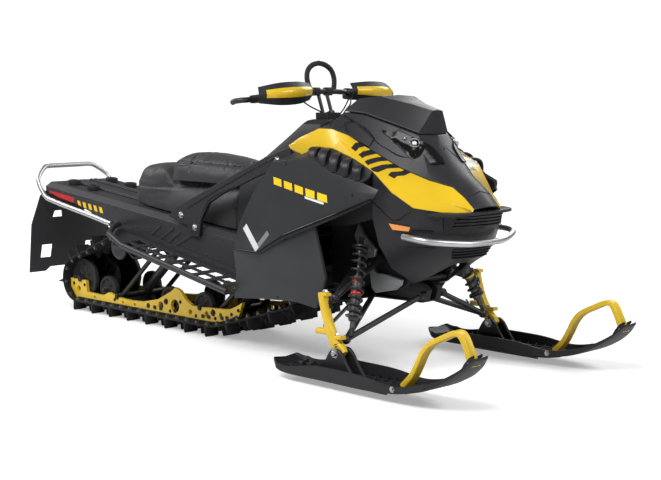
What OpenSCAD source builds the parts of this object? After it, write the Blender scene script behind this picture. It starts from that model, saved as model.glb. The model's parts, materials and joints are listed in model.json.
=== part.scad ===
// Mountain snowmobile: chassis with tunnel and track, faceted bodywork, double A-arm front end and two skis.
// Millimetres. +X forward, +Y left, +Z up. The ground is Z = 0 and X = 0 is the middle of the machine.

/* [Track] */
// Width of the rubber belt
track_w = 381; // [340:1:400]
// Thickness of the belt
belt_t = 8; // [6:1:12]
// Height of the lugs
lug_h = 44; // [30:1:50]
// Thickness of a lug at its root
lug_t = 20; // [12:1:30]
// Rows of lugs round the loop
lug_rows = 51; // [45:1:56]
// Diameter of the rear idler wheels
rear_wheel_d = 202; // [180:1:220]
// Diameter of the wheels that roll on the lower run
small_wheel_d = 132; // [110:1:140]
// Diameter of the drive sprockets
sprocket_d = 178; // [160:1:190]
// Station of the rear axle
rear_axle_x = -1190; // [-1230:1:-1150]
// Station of the drive axle
drive_x = 300; // [270:1:330]
// Height of the drive axle
drive_z = 275; // [265:1:280]

/* [Tunnel] */
// Outside width of the tunnel
tunnel_w = 406; // [400:1:440]
// Sheet thickness of the tunnel
tunnel_t = 4; // [3:1:6]
// Rear end of the tunnel
tunnel_rear_x = -1405; // [-1450:1:-1380]
// Height of the tunnel's side edge at X = 0
tunnel_z = 446; // [440:1:470]
// Fall of the tunnel towards the front, in degrees
tunnel_pitch = 6.3; // [5:0.1:8]

/* [Running boards] */
// Distance from the centre to the outer edge tube
board_edge_y = 400; // [370:1:420]
// Diameter of the edge tube
board_tube_d = 26; // [20:1:34]
// Thickness of the board
board_t = 5; // [4:1:8]

/* [Skis] */
// Distance between the ski centres
stance = 874; // [820:1:920]
// Width of a ski
ski_w = 176; // [150:1:190]
// Thickness of the ski blade
ski_t = 12; // [10:1:16]
// Width of the keel under a ski
keel_w = 40; // [30:1:60]
// Diameter of the steel wear bar under the keel
runner_d = 10; // [8:1:12]
// Width of the ski loop
loop_w = 40; // [30:1:44]
// Diameter of the ski bolt
ski_bolt_d = 16; // [12:1:20]

/* [Front suspension] */
// Diameter of the A-arm tubes
arm_d = 22; // [16:1:26]
// Diameter of the tie rods
tie_rod_d = 14; // [10:1:16]
// Outside diameter of the shock springs
spring_d = 58; // [46:1:62]
// Thickness of the spindle forging
spindle_t = 30; // [24:1:36]

/* [Steering] */
// Diameter of the steering post
post_d = 32; // [26:1:38]
// Backward lean of the post, in degrees
post_lean = 20; // [15:1:25]
// Diameter of the handlebar tube
bar_d = 22; // [20:1:24]
// Diameter of the grips
grip_d = 34; // [30:1:36]
// Running clearance in the post bearing, on the radius
post_fit = 0.06; // [0.03:0.01:0.1]

/* [Seat and console] */
// Width of the lower seat tier
seat_w = 300; // [260:1:320]
// Width of the seat cushion
cushion_w = 280; // [240:1:300]
// Width of the console
console_w = 330; // [300:1:350]

/* [Bars and anchors] */
// Diameter of the rear grab bar
grab_d = 24; // [20:1:30]
// Diameter of the front bumper tube
bumper_d = 24; // [20:1:30]
// Bore of the cargo anchors on the tunnel
anchor_bore_d = 36; // [30:1:44]
// Height of the cargo anchors
anchor_h = 22; // [16:1:30]

/* [Hidden] */
$fn = 48;

// Gap between panels that meet edge to edge, per edge, and between a piece and its seat
seam = 0.2;
seat_gap = 0.3;

// Colours
black = [0.10, 0.10, 0.11];
dark = [0.17, 0.17, 0.18];
yellow = [0.96, 0.72, 0.06];
silver = [0.80, 0.80, 0.82];
steel = [0.55, 0.56, 0.58];
rubber = [0.09, 0.09, 0.09];

// ---------- helpers ----------

function unit(v) = v / norm(v);
function sum(v, i = 0) = i < len(v) ? v[i] + sum(v, i + 1) : 0;
function transpose(g) = [for (j = [0:len(g[0]) - 1]) [for (i = [0:len(g) - 1]) g[i][j]]];
function shift(g, v) = [for (row = g) [for (p = row) p + v]];
function toward(g, c, k) = [for (row = g) [for (p = row) c + (p - c) * k]];
function flip_y(row) = [for (i = [len(row) - 1:-1:0]) [row[i][0], -row[i][1], row[i][2]]];
function pull_ends(row, s) = let (n = len(row) - 1)
    [for (k = [0:n])
        k == 0 ? row[0] + s * unit(row[1] - row[0]) :
        k == n ? row[n] + s * unit(row[n - 1] - row[n]) : row[k]];
// Draws the four edges of a grid inwards, so that neighbouring panels leave a seam
function trimmed(g, s = seam) =
    transpose([for (row = transpose([for (row = g) pull_ends(row, s)])) pull_ends(row, s)]);
// Smooth curve through points, with n steps from one to the next
function smooth(p, n = 3) = let (m = len(p) - 1)
    concat([for (i = [0:m - 1], k = [0:n - 1])
        let (a = p[max(i - 1, 0)], b = p[i], c = p[i + 1], d = p[min(i + 2, m)], t = k / n)
        b + t * (c - a) / 2 + t * t * (a - 2.5 * b + 2 * c - d / 2)
          + t * t * t * (1.5 * (b - c) + (d - a) / 2)], [p[m]]);

// Closed wall between an outer and an inner grid of points
module wall(outer, inner) {
    r = len(outer);
    c = len(outer[0]);
    n = r * c;
    skin = [for (i = [0:r - 2], j = [0:c - 2]) let (a = i * c + j)
        each [[a, a + 1, a + c + 1], [a, a + c + 1, a + c]]];
    ring = concat([for (j = [0:c - 2]) j], [for (i = [0:r - 2]) i * c + c - 1],
        [for (j = [c - 1:-1:1]) (r - 1) * c + j], [for (i = [r - 1:-1:1]) i * c]);
    rim = [for (k = [0:len(ring) - 1]) let (a = ring[k], b = ring[(k + 1) % len(ring)])
        each [[b, a, a + n], [b, a + n, b + n]]];
    faces = concat(skin, [for (f = skin) [f[2] + n, f[1] + n, f[0] + n]], rim);
    inward = sum([for (i = [0:r - 2], j = [0:c - 2])
        cross(outer[i][j + 1] - outer[i][j], outer[i + 1][j] - outer[i][j]) * (inner[i][j] - outer[i][j])]);
    polyhedron(concat([for (row = outer) each row], [for (row = inner) each row]),
        inward > 0 ? faces : [for (f = faces) [f[2], f[1], f[0]]], convexity = 6);
}

module rod(a, b, d) {
    v = b - a;
    translate(a)
        rotate([0, acos(v[2] / norm(v)), atan2(v[1], v[0])])
            cylinder(d = d, h = norm(v));
}

// Tube along a path: a ring of points square to the path at each of its points, joined to the next
module pipe(pts, d, sides = 12) {
    n = len(pts) - 1;
    rings = [for (i = [0:n]) let (
            t = unit(pts[min(i + 1, n)] - pts[max(i - 1, 0)]),
            a = unit(cross(t, abs(t[2]) < 0.9 ? [0, 0, 1] : [0, 1, 0])),
            b = cross(t, a),
            bend = i == 0 || i == n ? 1 : 1 / max(0.7, sqrt((1 + unit(pts[i] - pts[i - 1]) * unit(pts[i + 1] - pts[i])) / 2)))
        [for (k = [0:sides - 1]) pts[i] + d / 2 * bend * (cos(360 * k / sides) * a + sin(360 * k / sides) * b)]];
    skin = [for (i = [0:n - 1], k = [0:sides - 1]) let (p = i * sides + k, q = i * sides + (k + 1) % sides)
        each [[p, p + sides, q + sides], [p, q + sides, q]]];
    caps = [[for (k = [0:sides - 1]) k], [for (k = [sides - 1:-1:0]) n * sides + k]];
    polyhedron([for (ring = rings) each ring], concat(skin, caps), convexity = 8);
}

// A plate standing in the XZ plane between y0 and y1
module slab(pts, y0, y1) {
    translate([0, y1, 0]) rotate([90, 0, 0]) linear_extrude(y1 - y0) polygon(pts);
}

// A wheel or shaft across the machine, between y0 and y1
module across(x, z, d, y0, y1) {
    translate([x, y0, z]) rotate([-90, 0, 0]) cylinder(d = d, h = y1 - y0);
}

module both() {
    children();
    mirror([0, 1, 0]) children();
}

module on_side(s) {
    mirror([0, s < 0 ? 1 : 0, 0]) children();
}

// A strip of even width along a path in a plane
function band(path, w) = let (
    n = len(path) - 1,
    t = [for (i = [0:n]) unit(path[min(i + 1, n)] - path[max(i - 1, 0)])])
    concat([for (i = [0:n]) path[i] + w / 2 * [-t[i][1], t[i][0]]],
        [for (i = [n:-1:0]) path[i] - w / 2 * [-t[i][1], t[i][0]]]);

// ---------- track ----------

ride_z = lug_h + belt_t;
bend_r = 400;
bend_x = -200;
upper_x = -800;
upper_z = 345;
upper_wheel_d = 134;
rim_gap = 0.5;
rear_axle_z = ride_z + rear_wheel_d / 2 + rim_gap;

// Circles that the belt's inner face wraps, anticlockwise: [x, z, radius]
wraps = [
    [rear_axle_x, rear_axle_z, rear_wheel_d / 2 + rim_gap],
    [bend_x, ride_z + bend_r, bend_r],
    [drive_x, drive_z, sprocket_d / 2 + rim_gap],
    [upper_x, upper_z, upper_wheel_d / 2 + rim_gap]
];
// Direction of the outward normal on the straight from one circle to the next
function straight_normal(i) = let (
    a = wraps[i % 4],
    b = wraps[(i + 1) % 4],
    v = [b[0] - a[0], b[1] - a[1]])
    atan2(v[1], v[0]) - 90 + asin((a[2] - b[2]) / norm(v));
// Outline of the belt, a distance g outside its inner face
function loop(g, step = 6) = [for (i = [0:3]) let (
        from = straight_normal(i + 3),
        turn = (straight_normal(i) - from + 720) % 360,
        n = ceil(turn / step))
    for (k = [0:n]) let (a = from + turn * k / n)
        [wraps[i][0] + (wraps[i][2] + g) * cos(a), wraps[i][1] + (wraps[i][2] + g) * sin(a)]];
outer_loop = loop(belt_t);
loop_n = len(outer_loop);
// Distance along the loop at each of its points
mileage = [for (i = 0, s = 0; i <= loop_n;
    s = s + norm(outer_loop[(i + 1) % loop_n] - outer_loop[i % loop_n]), i = i + 1) s];
loop_length = mileage[loop_n];
function along(s) = let (m = (s + loop_length) % loop_length)
    [lookup(m, [for (i = [0:loop_n]) [mileage[i], outer_loop[i % loop_n][0]]]),
     lookup(m, [for (i = [0:loop_n]) [mileage[i], outer_loop[i % loop_n][1]]])];
lug_pitch = loop_length / lug_rows;
// Loop outline with one tooth for each row of lugs
lugged_loop = [for (k = [0:lug_rows - 1]) let (
        s = (k + 0.5) * lug_pitch,
        a = along(s - lug_t / 2),
        b = along(s + lug_t / 2),
        t = unit(b - a),
        out = [t[1], -t[0]] * lug_h)
    each [a, a + out + t * lug_t / 4, b + out - t * lug_t / 4, b, along(s + lug_pitch / 2)]];

module track() {
    color(rubber)
        difference() {
            slab(lugged_loop, -track_w / 2, track_w / 2);
            slab(loop(0), -track_w / 2 - 1, track_w / 2 + 1);
        }
}

rail_y = 150;
rail_t = 16;
rail_base = ride_z + seat_gap;
rail_top = [
    [-1273, 152], [-1143, 150], [-1137, 95], [-1002, 92], [-952, 112], [-895, 96], [-775, 92], [-681, 98],
    [-566, 122], [-468, 168], [-438, 189], [-402, 179], [-360, 141], [-318, 120], [-233, 122], [-63, 132],
    [-16, 150], [26, 172]
];
rail_windows = [[-1205, 104, 30], [-1070, 76, 16], [-840, 76, 16], [-745, 76, 16], [-640, 84, 26],
    [-545, 96, 36], [-440, 105, 60], [-330, 90, 26], [-215, 94, 26], [-120, 100, 22]];

// Underside of the rail: flat on the lower run, then up inside the belt's front bend
rail_foot = concat([[-1273, 110], [-1225, rail_base + 6]], [[-1180, rail_base]],
    [for (a = [0:5:30]) [bend_x + (bend_r - seat_gap) * sin(a), ride_z + bend_r - (bend_r - seat_gap) * cos(a)]]);

module slide_rails() {
    color(yellow)
        both()
            difference() {
                slab(concat(rail_top, [for (i = [len(rail_foot) - 1:-1:0]) rail_foot[i]]),
                    rail_y - rail_t / 2, rail_y + rail_t / 2);
                for (w = rail_windows)
                    across(w[0], w[1], w[2], rail_y - rail_t, rail_y + rail_t);
                across(rear_axle_x, rear_axle_z, axle_d + 2 * seat_gap, rail_y - rail_t, rail_y + rail_t);
                for (x = roller_x)
                    across(x, roller_z, roller_pin_d + 2 * seat_gap, rail_y - rail_t, rail_y + rail_t);
                for (p = [front_foot, rear_foot])
                    across(p[0], p[1], arm_pin_d + 2 * seat_gap, rail_y - rail_t, rail_y + rail_t);
            }
}

axle_d = 24;
wheel_w = 26;
roller_x = [-990, -505, -262];
roller_z = ride_z + small_wheel_d / 2 + rim_gap;
roller_pin_d = 14;
// The wheels run inside the rails, and their pins stand a little proud of the rails' outer faces
wheel_y = rail_y - rail_t / 2 - seat_gap - wheel_w / 2 - 3;
pin_end = rail_y + rail_t / 2 + 8;

// A rubber-tyred wheel with a thin web and a hub
module wheel(x, z, d, y) {
    difference() {
        across(x, z, d, y - wheel_w / 2, y + wheel_w / 2);
        for (s = [-1, 1])
            difference() {
                across(x, z, d - 30, y + s * wheel_w / 2 - 8, y + s * wheel_w / 2 + 8);
                across(x, z, 46, y + s * wheel_w / 2 - 9, y + s * wheel_w / 2 + 9);
            }
    }
}

module rear_axle() {
    color(dark) {
        across(rear_axle_x, rear_axle_z, axle_d, -pin_end, pin_end);
        for (y = [-wheel_y, 0, wheel_y])
            wheel(rear_axle_x, rear_axle_z, rear_wheel_d, y);
    }
}

module idler_wheels() {
    color(dark) {
        both()
            for (x = roller_x) {
                wheel(x, roller_z, small_wheel_d, wheel_y);
                across(x, roller_z, roller_pin_d, wheel_y - wheel_w / 2 - 5, pin_end);
            }
        across(upper_x, upper_z, axle_d, -track_in, track_in);
        for (y = [-100, 100])
            wheel(upper_x, upper_z, upper_wheel_d, y);
    }
}

module drive_axle() {
    color(black) {
        across(drive_x, drive_z, 30, -track_in, track_in);
        for (y = [-75, 75]) across(drive_x, drive_z, sprocket_d, y - 15, y + 15);
    }
}

// Feet of the two track arms on the rails, and their pivots under the tunnel: [x, z]
front_foot = [-170, 106];
rear_foot = [-886, 100];
front_pivot = [60, 300];
rear_pivot = [-560, 372];
arm_pin_d = 12;
arm_half = rail_y - rail_t / 2 - 14;

module track_arm(foot, pivot) {
    for (s = [-1, 1])
        rod([foot[0], s * arm_half, foot[1]], [pivot[0], s * arm_half, pivot[1]], 22);
    across(foot[0], foot[1], 28, -arm_half - 12, arm_half + 12);
    across(foot[0], foot[1], arm_pin_d, -rail_y - rail_t / 2, rail_y + rail_t / 2);
    across(pivot[0], pivot[1], 30, -track_in, track_in);
}

module track_arms() {
    color(dark) {
        track_arm(front_foot, front_pivot);
        track_arm(rear_foot, rear_pivot);
    }
}

// A damper body with a spring round it, from its lower to its upper eye
module damper(low, high, d, rod_share = 0.35) {
    v = high - low;
    rod(low, high, d * 0.32);
    rod(low + v * 0.1, low + v * (1 - rod_share * 0.45), d);
    rod(low + v * 0.06, low + v * 0.1, d * 1.12);
    rod(low + v * (1 - rod_share * 0.45), low + v * (1 - rod_share * 0.3), d * 1.12);
}

module track_shocks() {
    color(dark)
        for (k = [[front_foot, front_pivot, 45], [rear_foot, rear_pivot, 45]]) {
            foot = [k[0][0], 0, k[0][1]];
            pivot = [k[1][0], 0, k[1][1]];
            v = unit(pivot - foot);
            damper(foot + (14 + seat_gap) * v, pivot - (15 + seat_gap) * v, k[2]);
        }
}

// ---------- tunnel and what it carries ----------

tunnel_half = tunnel_w / 2;
track_in = tunnel_half - tunnel_t - seat_gap;
fall = tan(tunnel_pitch);
function tunnel_edge_z(x) = tunnel_z - x * fall;
tunnel_crown = 20;
crown_in = 32;
// Raised part of the tunnel over the drive sprockets
hump_x0 = 60;
hump_x1 = 130;
hump_front = 520;
hump_z = 478;
function roof_z(x) = x <= hump_x0 ? tunnel_edge_z(x) : x >= hump_x1 ? hump_z
    : tunnel_edge_z(hump_x0) + (hump_z - tunnel_edge_z(hump_x0)) * (x - hump_x0) / (hump_x1 - hump_x0);

tunnel_stations = [tunnel_rear_x, hump_x0, hump_x1, hump_front];
// Lower edge of the tunnel sides
skirt = [[tunnel_rear_x, 578], [-1290, 550], [-1126, 524], [-830, 440], [-520, 385], [54, 286], [250, 225], [hump_front, 225]];

module tunnel() {
    color(dark) {
        both()
            slab(concat(skirt, [for (i = [3:-1:0]) [tunnel_stations[i], roof_z(tunnel_stations[i])]]),
                tunnel_half - tunnel_t, tunnel_half);
        wall(tunnel_roof(0), tunnel_roof(-tunnel_t));
    }
}

// Cross-section rows of the tunnel's roof at its stations
function tunnel_roof(dz) = [for (x = tunnel_stations)
    [for (p = [[-tunnel_half, 0], [-tunnel_half + crown_in, tunnel_crown], [tunnel_half - crown_in, tunnel_crown],
        [tunnel_half, 0]]) [x, p[0], roof_z(x) + p[1] + dz]]];

// Running board plane: height at the tunnel side for a station
board_front_x = 216;
board_rear_x = -800;
board_fall = 0.1715;
function board_z(x) = 297 - board_fall * x;

module running_board() {
    len_b = board_front_x - board_rear_x;
    ang = atan(board_fall);
    inner = tunnel_half + seat_gap;
    outer = board_edge_y;
    slots = 9;
    translate([board_rear_x, 0, board_z(board_rear_x)])
        rotate([0, ang, 0]) {
            difference() {
                translate([0, 0, -board_t])
                    linear_extrude(board_t)
                        polygon([[0, inner], [len_b / cos(ang), inner], [len_b / cos(ang), outer], [240, outer],
                            [60, inner + 60]]);
                for (k = [0:slots - 1]) {
                    x0 = 215 + k * 90;
                    translate([x0, inner + 28, -board_t - 1])
                        linear_extrude(board_t + 2)
                            polygon([[0, 0], [62, 0], [62, 52], [0, 52]]);
                    translate([x0 + 12, inner + 100, -board_t - 1])
                        linear_extrude(board_t + 2)
                            polygon([[0, 0], [62, 0], [62, 52], [0, 52]]);
                }
            }
            translate([0, inner, 0]) cube([len_b / cos(ang), board_t, 30]);
        }
    pipe([[board_front_x, outer, board_z(board_front_x) + 6], [-500, outer, board_z(-500) + 14],
        [-610, outer - 14, board_z(-610) + 36], [-700, outer - 100, board_z(-700) + 40],
        [-780, inner + board_tube_d / 2, board_z(-780) + 24]], board_tube_d);
}

module running_board_right() { color(dark) on_side(-1) running_board(); }
module running_board_left() { color(dark) on_side(1) running_board(); }

grab_y = tunnel_half + grab_d / 2 + seat_gap;

module grab_bar() {
    half = smooth([[-838, grab_y, 452], [-1010, grab_y, 482], [-1300, grab_y, 528], [-1396, grab_y, 556],
        [-1462, grab_y - 8, 632], [-1500, 150, 684], [-1506, 110, 692]], 2);
    color(silver) pipe(concat(half, flip_y(half)), grab_d);
}

flap_t = 6;
flap_top_x = tunnel_rear_x - 40;
flap_low_x = -1560;

// The flap hangs from the tunnel's end plate and leans backwards
lean = atan((flap_top_x - flap_low_x) / 430);

module snow_flap() {
    color(black)
        translate([flap_top_x, 0, 579])
            rotate([0, lean, 0])
                rotate([0, -90, 0])
                    linear_extrude(flap_t)
                        difference() {
                            polygon([[0, -166], [-30, -205], [-182, -236], [-440, -214], [-440, -120], [-418, -95],
                                [-418, 95], [-440, 120], [-440, 214], [-182, 236], [-30, 205], [0, 166]]);
                            for (s = [-1, 1])
                                translate([-150, s * 90]) polygon([[0, -28], [0, 28], [34, 20], [34, -20]]);
                            for (s = [-1, 1])
                                translate([-330, s * 130]) square([70, 60], center = true);
                        }
    color(black)
        both()
            slab([[tunnel_rear_x - seat_gap, 560], [flap_top_x + seat_gap - 24 * tan(lean), 555],
                [flap_top_x + seat_gap, 579], [flap_top_x + seat_gap, 592], [tunnel_rear_x - seat_gap, 620]],
                60, 165);
}

module tail_light() {
    color([0.6, 0.05, 0.04])
        translate([tunnel_rear_x - seat_gap - 36, -56, 578])
            cube([36, 112, 42]);
}

// Cargo anchors: round sockets with a true bore, standing on the tunnel's roof
anchor_x = [-1290, -1130];
anchor_y = 110;
anchor_d = anchor_bore_d + 24;

module cargo_anchors() {
    color(black)
        for (x = anchor_x, y = [-anchor_y, anchor_y])
            translate([x, y, roof_z(x) + tunnel_crown])
                rotate([0, tunnel_pitch, 0])
                    translate([0, 0, seat_gap])
                        difference() {
                            cylinder(d = anchor_d, h = anchor_h);
                            translate([0, 0, -1]) cylinder(d = anchor_bore_d, h = anchor_h + 2);
                        }
}

function on_roof(x) = roof_z(x) + tunnel_crown + seat_gap;

// Body with rounded shoulders through stations [x, z_low, z_high, half width low, half width high]
module loft(stations) {
    ring = function (s) let (h = s[2] - s[1], b = min(h * 0.45, 45))
        [[s[3], s[1]], [s[3] + (s[4] - s[3]) * 0.5, s[1] + h * 0.5], [s[4], s[2] - b],
         [s[4] - b * 0.35, s[2] - b * 0.3], [s[4] - b, s[2]], [s[4] * 0.4, s[2] + crown]];
    top = [for (s = stations) let (half = ring(s)) concat([for (p = half) [s[0], p[0], p[1]]],
        [for (i = [len(half) - 1:-1:0]) [s[0], -half[i][0], half[i][1]]])];
    n = len(top);
    m = len(top[0]);
    pts = [for (row = top) each row];
    sides = [for (i = [0:n - 2], j = [0:m - 1]) let (a = i * m + j, b = i * m + (j + 1) % m)
        each [[a, b, b + m], [a, b + m, a + m]]];
    caps = [[for (j = [m - 1:-1:0]) j], [for (j = [0:m - 1]) (n - 1) * m + j]];
    polyhedron(pts, concat(sides, caps), convexity = 6);
}

// Crown that loft() adds along the middle of a body's top
crown = 3.5;
// Flat deck of the seat base, and the underside of the cushion on it
deck_z = 660;
pad_z = deck_z + crown + seat_gap;

module seat_base() {
    color(black)
        loft([[-775, on_roof(-775) + 30, 690, 120, 105], [-735, on_roof(-735) + 4, 728, 145, 118],
            [-600, on_roof(-600), 736, seat_w / 2, 128], [-545, on_roof(-545), 722, seat_w / 2, 132],
            [-500, on_roof(-500), deck_z, seat_w / 2, 136], [-100, on_roof(-100), deck_z, seat_w / 2, 136],
            [-31, on_roof(-31), deck_z, 140, 134]]);
}

module seat_cushion() {
    color(black)
        loft([[-496, pad_z, 770, 122, 112], [-440, pad_z, 782, cushion_w / 2, 126],
            [-300, pad_z, 781, cushion_w / 2, 124], [-120, pad_z, 766, 134, 116], [-31, pad_z, 748, 128, 108]]);
}

console_front = 462;
console_top = 950;

module console() {
    color(black)
        loft([[-30, on_roof(-30), 748, 140, 112], [60, on_roof(60), 776, 152, 118],
            [hump_x1, on_roof(hump_x1), 806, console_w / 2, 124],
            [250, on_roof(hump_x1), 880, console_w / 2, 122], [330, on_roof(hump_x1), 932, console_w / 2, 120],
            [352, on_roof(hump_x1), console_top - crown, console_w / 2, 120],
            [console_front, on_roof(hump_x1), console_top - crown, console_w / 2, 120]]);
}

strut_t = 18;
// Outline of the broad strut on each side, from the tunnel up to the bodywork: [x, z]
strut_plan = [
    [-392, 520], [-351, 556], [-60, 676], [229, 790], [400, 846], [416, 790], [300, 752], [229, 728],
    [-20, 636], [-110, 592], [-164, 520], [-182, 442], [-240, 440], [-262, 488], [-330, 500]
];

module side_struts() {
    color(black) both() slab(strut_plan, tunnel_half + seat_gap, tunnel_half + seat_gap + strut_t);
}

// ---------- bodywork ----------

// All panels are thickened towards this point, so that their edges never cross
core = [750, 0, 520];
panel_k = 0.965;

module panel(grid) {
    g = trimmed(grid);
    wall(g, toward(g, core, panel_k));
}

// Upper and lower edge of the coloured strip beside the hood, rear to front, left side
strip_top = [[484, 300, 858], [547, 300, 890], [648, 295, 926], [700, 280, 924], [765, 255, 900], [860, 205, 834],
    [945, 165, 780], [1055, 125, 737], [1131, 85, 714], [1180, 78, 680], [1226, 72, 636]];
strip_low = [[490, 303, 846], [530, 306, 833], [569, 311, 824], [658, 312, 857], [733, 307, 852], [850, 306, 815],
    [935, 302, 775], [1005, 277, 700], [1075, 236, 644], [1150, 172, 628], [1220, 80, 622]];
strip_mid = [for (i = [0:len(strip_top) - 1]) (strip_top[i] + strip_low[i]) / 2 + [0, 5, 6]];

module hood_strips() {
    color(yellow) both() panel([strip_top, strip_mid, strip_low]);
}

// Shoulder and ridge of the hood at the same stations
hood_shoulder = [[474, 200, 866], [530, 200, 902], [600, 200, 938], [690, 200, 984], [770, 174, 974], [865, 128, 938],
    [962, 84, 900], [1052, 70, 802], [1112, 50, 750], [1172, 44, 708], [1232, 38, 641]];
hood_ridge = [[466, 0, 886], [520, 0, 922], [590, 0, 952], [680, 0, 988], [770, 0, 982], [870, 0, 952],
    [985, 0, 898], [1062, 0, 802], [1120, 0, 757], [1178, 0, 712], [1237, 0, 643]];

module hood() {
    color(black)
        panel([strip_top, hood_shoulder, hood_ridge,
            [for (p = hood_shoulder) [p[0], -p[1], p[2]]], [for (p = strip_top) [p[0], -p[1], p[2]]]]);
}

// Low windshield: a wedge on the hood from its base edge to a narrow crest
module windshield() {
    base = [for (i = [3:6]) hood_shoulder[i]];
    crest = [[712, 150, 1034], [780, 96, 1042], [885, 42, 1014], [982, 30, 988]];
    top = [[704, 0, 1042], [784, 0, 1048], [890, 0, 1022], [984, 0, 992]];
    under = [for (i = [3:6]) hood_ridge[i]];
    lift = [0, 0, 3.2];
    half = [[for (p = base) p + [0, -2, 9]], crest, top];
    foot = [[for (p = base) p + [0, -2, 0] + lift],
        [for (i = [0:3]) (base[i] + under[i]) / 2 + lift], [for (p = under) p + lift]];
    other = function (g) [for (i = [1, 0]) [for (p = g[i]) [p[0], -p[1], p[2]]]];
    color(black) wall(concat(half, other(half)), concat(foot, other(foot)));
}

// A place on the left half of the hood: station s, and u from the shoulder (0) to the strip (1)
function hood_at(s, u) = let (i = floor(s), t = s - i)
    (hood_shoulder[i] * (1 - t) + hood_shoulder[i + 1] * t) * (1 - u)
    + (strip_top[i] * (1 - t) + strip_top[i + 1] * t) * u;

// Swept lamps on the flanks of the hood, beside the windshield's front edge
module headlamps() {
    lamp = [for (u = [0.10, 0.42]) [for (s = [5.30, 5.65, 6.0, 6.25]) hood_at(s, u + (s - 5.3) * 0.12)]];
    color([0.85, 0.88, 0.9]) both() wall(toward(lamp, core, 1.026), toward(lamp, core, 1.009));
}

panel_top = [[486, 385, 800], [560, 386, 808], [650, 386, 816], [705, 386, 817], [790, 376, 770], [930, 352, 736],
    [1000, 335, 713]];
crease = [[290, 425, 448], [444, 430, 446], [520, 430, 485], [600, 430, 525], [745, 420, 578], [852, 405, 619],
    [984, 353, 680]];
panel_upper = [[385, 398, 680], [480, 401, 692], [580, 402, 702], [680, 402, 706], [782, 396, 702], [902, 372, 702],
    [996, 345, 700]];
panel_lower = [[315, 415, 552], [424, 419, 570], [532, 421, 592], [640, 419, 614], [762, 412, 640], [884, 386, 662],
    [990, 350, 688]];
flank_mid = [[265, 392, 345], [398, 396, 345], [506, 396, 350], [618, 396, 365], [772, 386, 372]];
flank_low = [[213, 360, 236], [380, 360, 250], [500, 360, 257], [585, 360, 260], [694, 360, 247]];

module side_panel() {
    upper = trimmed([panel_top, panel_upper, panel_lower, crease]);
    flank = trimmed([[for (i = [0:4]) crease[i]], flank_mid, flank_low], 0);
    union() {
        wall(upper, toward(upper, core, panel_k));
        wall(concat([[for (i = [0:4]) upper[3][i]]], [flank[1], flank[2]]),
            toward(concat([[for (i = [0:4]) upper[3][i]]], [flank[1], flank[2]]), core, panel_k));
    }
}

module side_panel_right() { color(dark) on_side(-1) side_panel(); }
module side_panel_left() { color(dark) on_side(1) side_panel(); }

module louvre_panels() {
    edge = [for (i = [1:6]) strip_low[i]];
    seat = [for (i = [0:5]) panel_top[i]];
    color(black) both() panel([edge, (edge + seat) / 2 - [for (i = [0:5]) [0, 6, 4]], seat]);
}

// Panels that close the engine bay towards the rider's knees
knee_y = tunnel_half + 0.5;
knee_inner = [for (p = [[470, 858], [425, 700], [372, 556], [345, 452], [318, 345], [262, 240]]) [p[0], knee_y, p[1]]];

module knee_panels() {
    outer = [panel_top[0], panel_upper[0], panel_lower[0], crease[0], flank_mid[0], flank_low[0]];
    back = [for (i = [0:5]) core + (outer[i] - core) * (panel_k - 0.001) + [0, 0, i == 0 ? -6 : 0]];
    mid = [for (i = [0:5]) (back[i] + knee_inner[i]) / 2 + [14, 0, 0]];
    g = trimmed([back, mid, knee_inner]);
    color(dark) both() wall(g, shift(g, [12, 0, 0]));
}

// Nose, from the strip's lower edge down to the chin, left half from the rear to the centre
nose_rows = [
    [strip_low[6], strip_low[7], strip_low[8], strip_low[9], [1220, 80, 622], [1230, 0, 624]],
    [[925, 296, 604], [1000, 277, 578], [1075, 246, 566], [1150, 166, 558], [1192, 86, 556], [1203, 0, 556]],
    [[938, 274, 500], [1005, 246, 500], [1075, 206, 498], [1138, 150, 495], [1176, 80, 493], [1188, 0, 493]],
    [[952, 220, 412], [1010, 190, 422], [1075, 160, 436], [1126, 115, 447], [1152, 66, 450], [1160, 0, 450]],
    [[962, 106, 342], [1012, 94, 366], [1058, 80, 392], [1090, 62, 412], [1106, 40, 424], [1110, 0, 426]]
];

module nose() {
    full = [for (row = nose_rows) concat(row, flip_y([for (i = [0:4]) row[i]]))];
    color(black) panel(full);
}

module nose_grille() {
    full = trimmed([for (i = [0:1]) let (row = [for (j = [3:5]) nose_rows[i][j]])
        concat(row, flip_y([row[0], row[1]]))], 5);
    color(black) wall(toward(full, core, 1.016), toward(full, core, 1.003));
}

module side_reflectors() {
    g = [[[992, 278, 586], [1068, 248, 575]], [[1003, 270, 563], [1060, 245, 559]]];
    color([0.95, 0.45, 0.05]) both() wall(toward(g, core, 1.03), toward(g, core, 1.0125));
}

module front_bumper() {
    half = smooth([[1046, 258.6, 540], [1120, 260, 534], [1168, 222, 526], [1222, 100, 514], [1232, 0, 512]], 2);
    color(silver) pipe(concat(half, flip_y([for (i = [0:len(half) - 2]) half[i]])), bumper_d);
}

pan_half = 346.9;

module belly_pan() {
    color(black)
        translate([0, 0, 262])
            linear_extrude(8)
                polygon([[525, -pan_half], [692, -pan_half], [716, -70], [950, -keel_y], [950, keel_y],
                    [716, 70], [692, pan_half], [525, pan_half]]);
}

// Width of the keel casting between the lower A-arm pivots, to each side
keel_y = 46;
frame_y = 118;
frame_t = 16;

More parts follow.
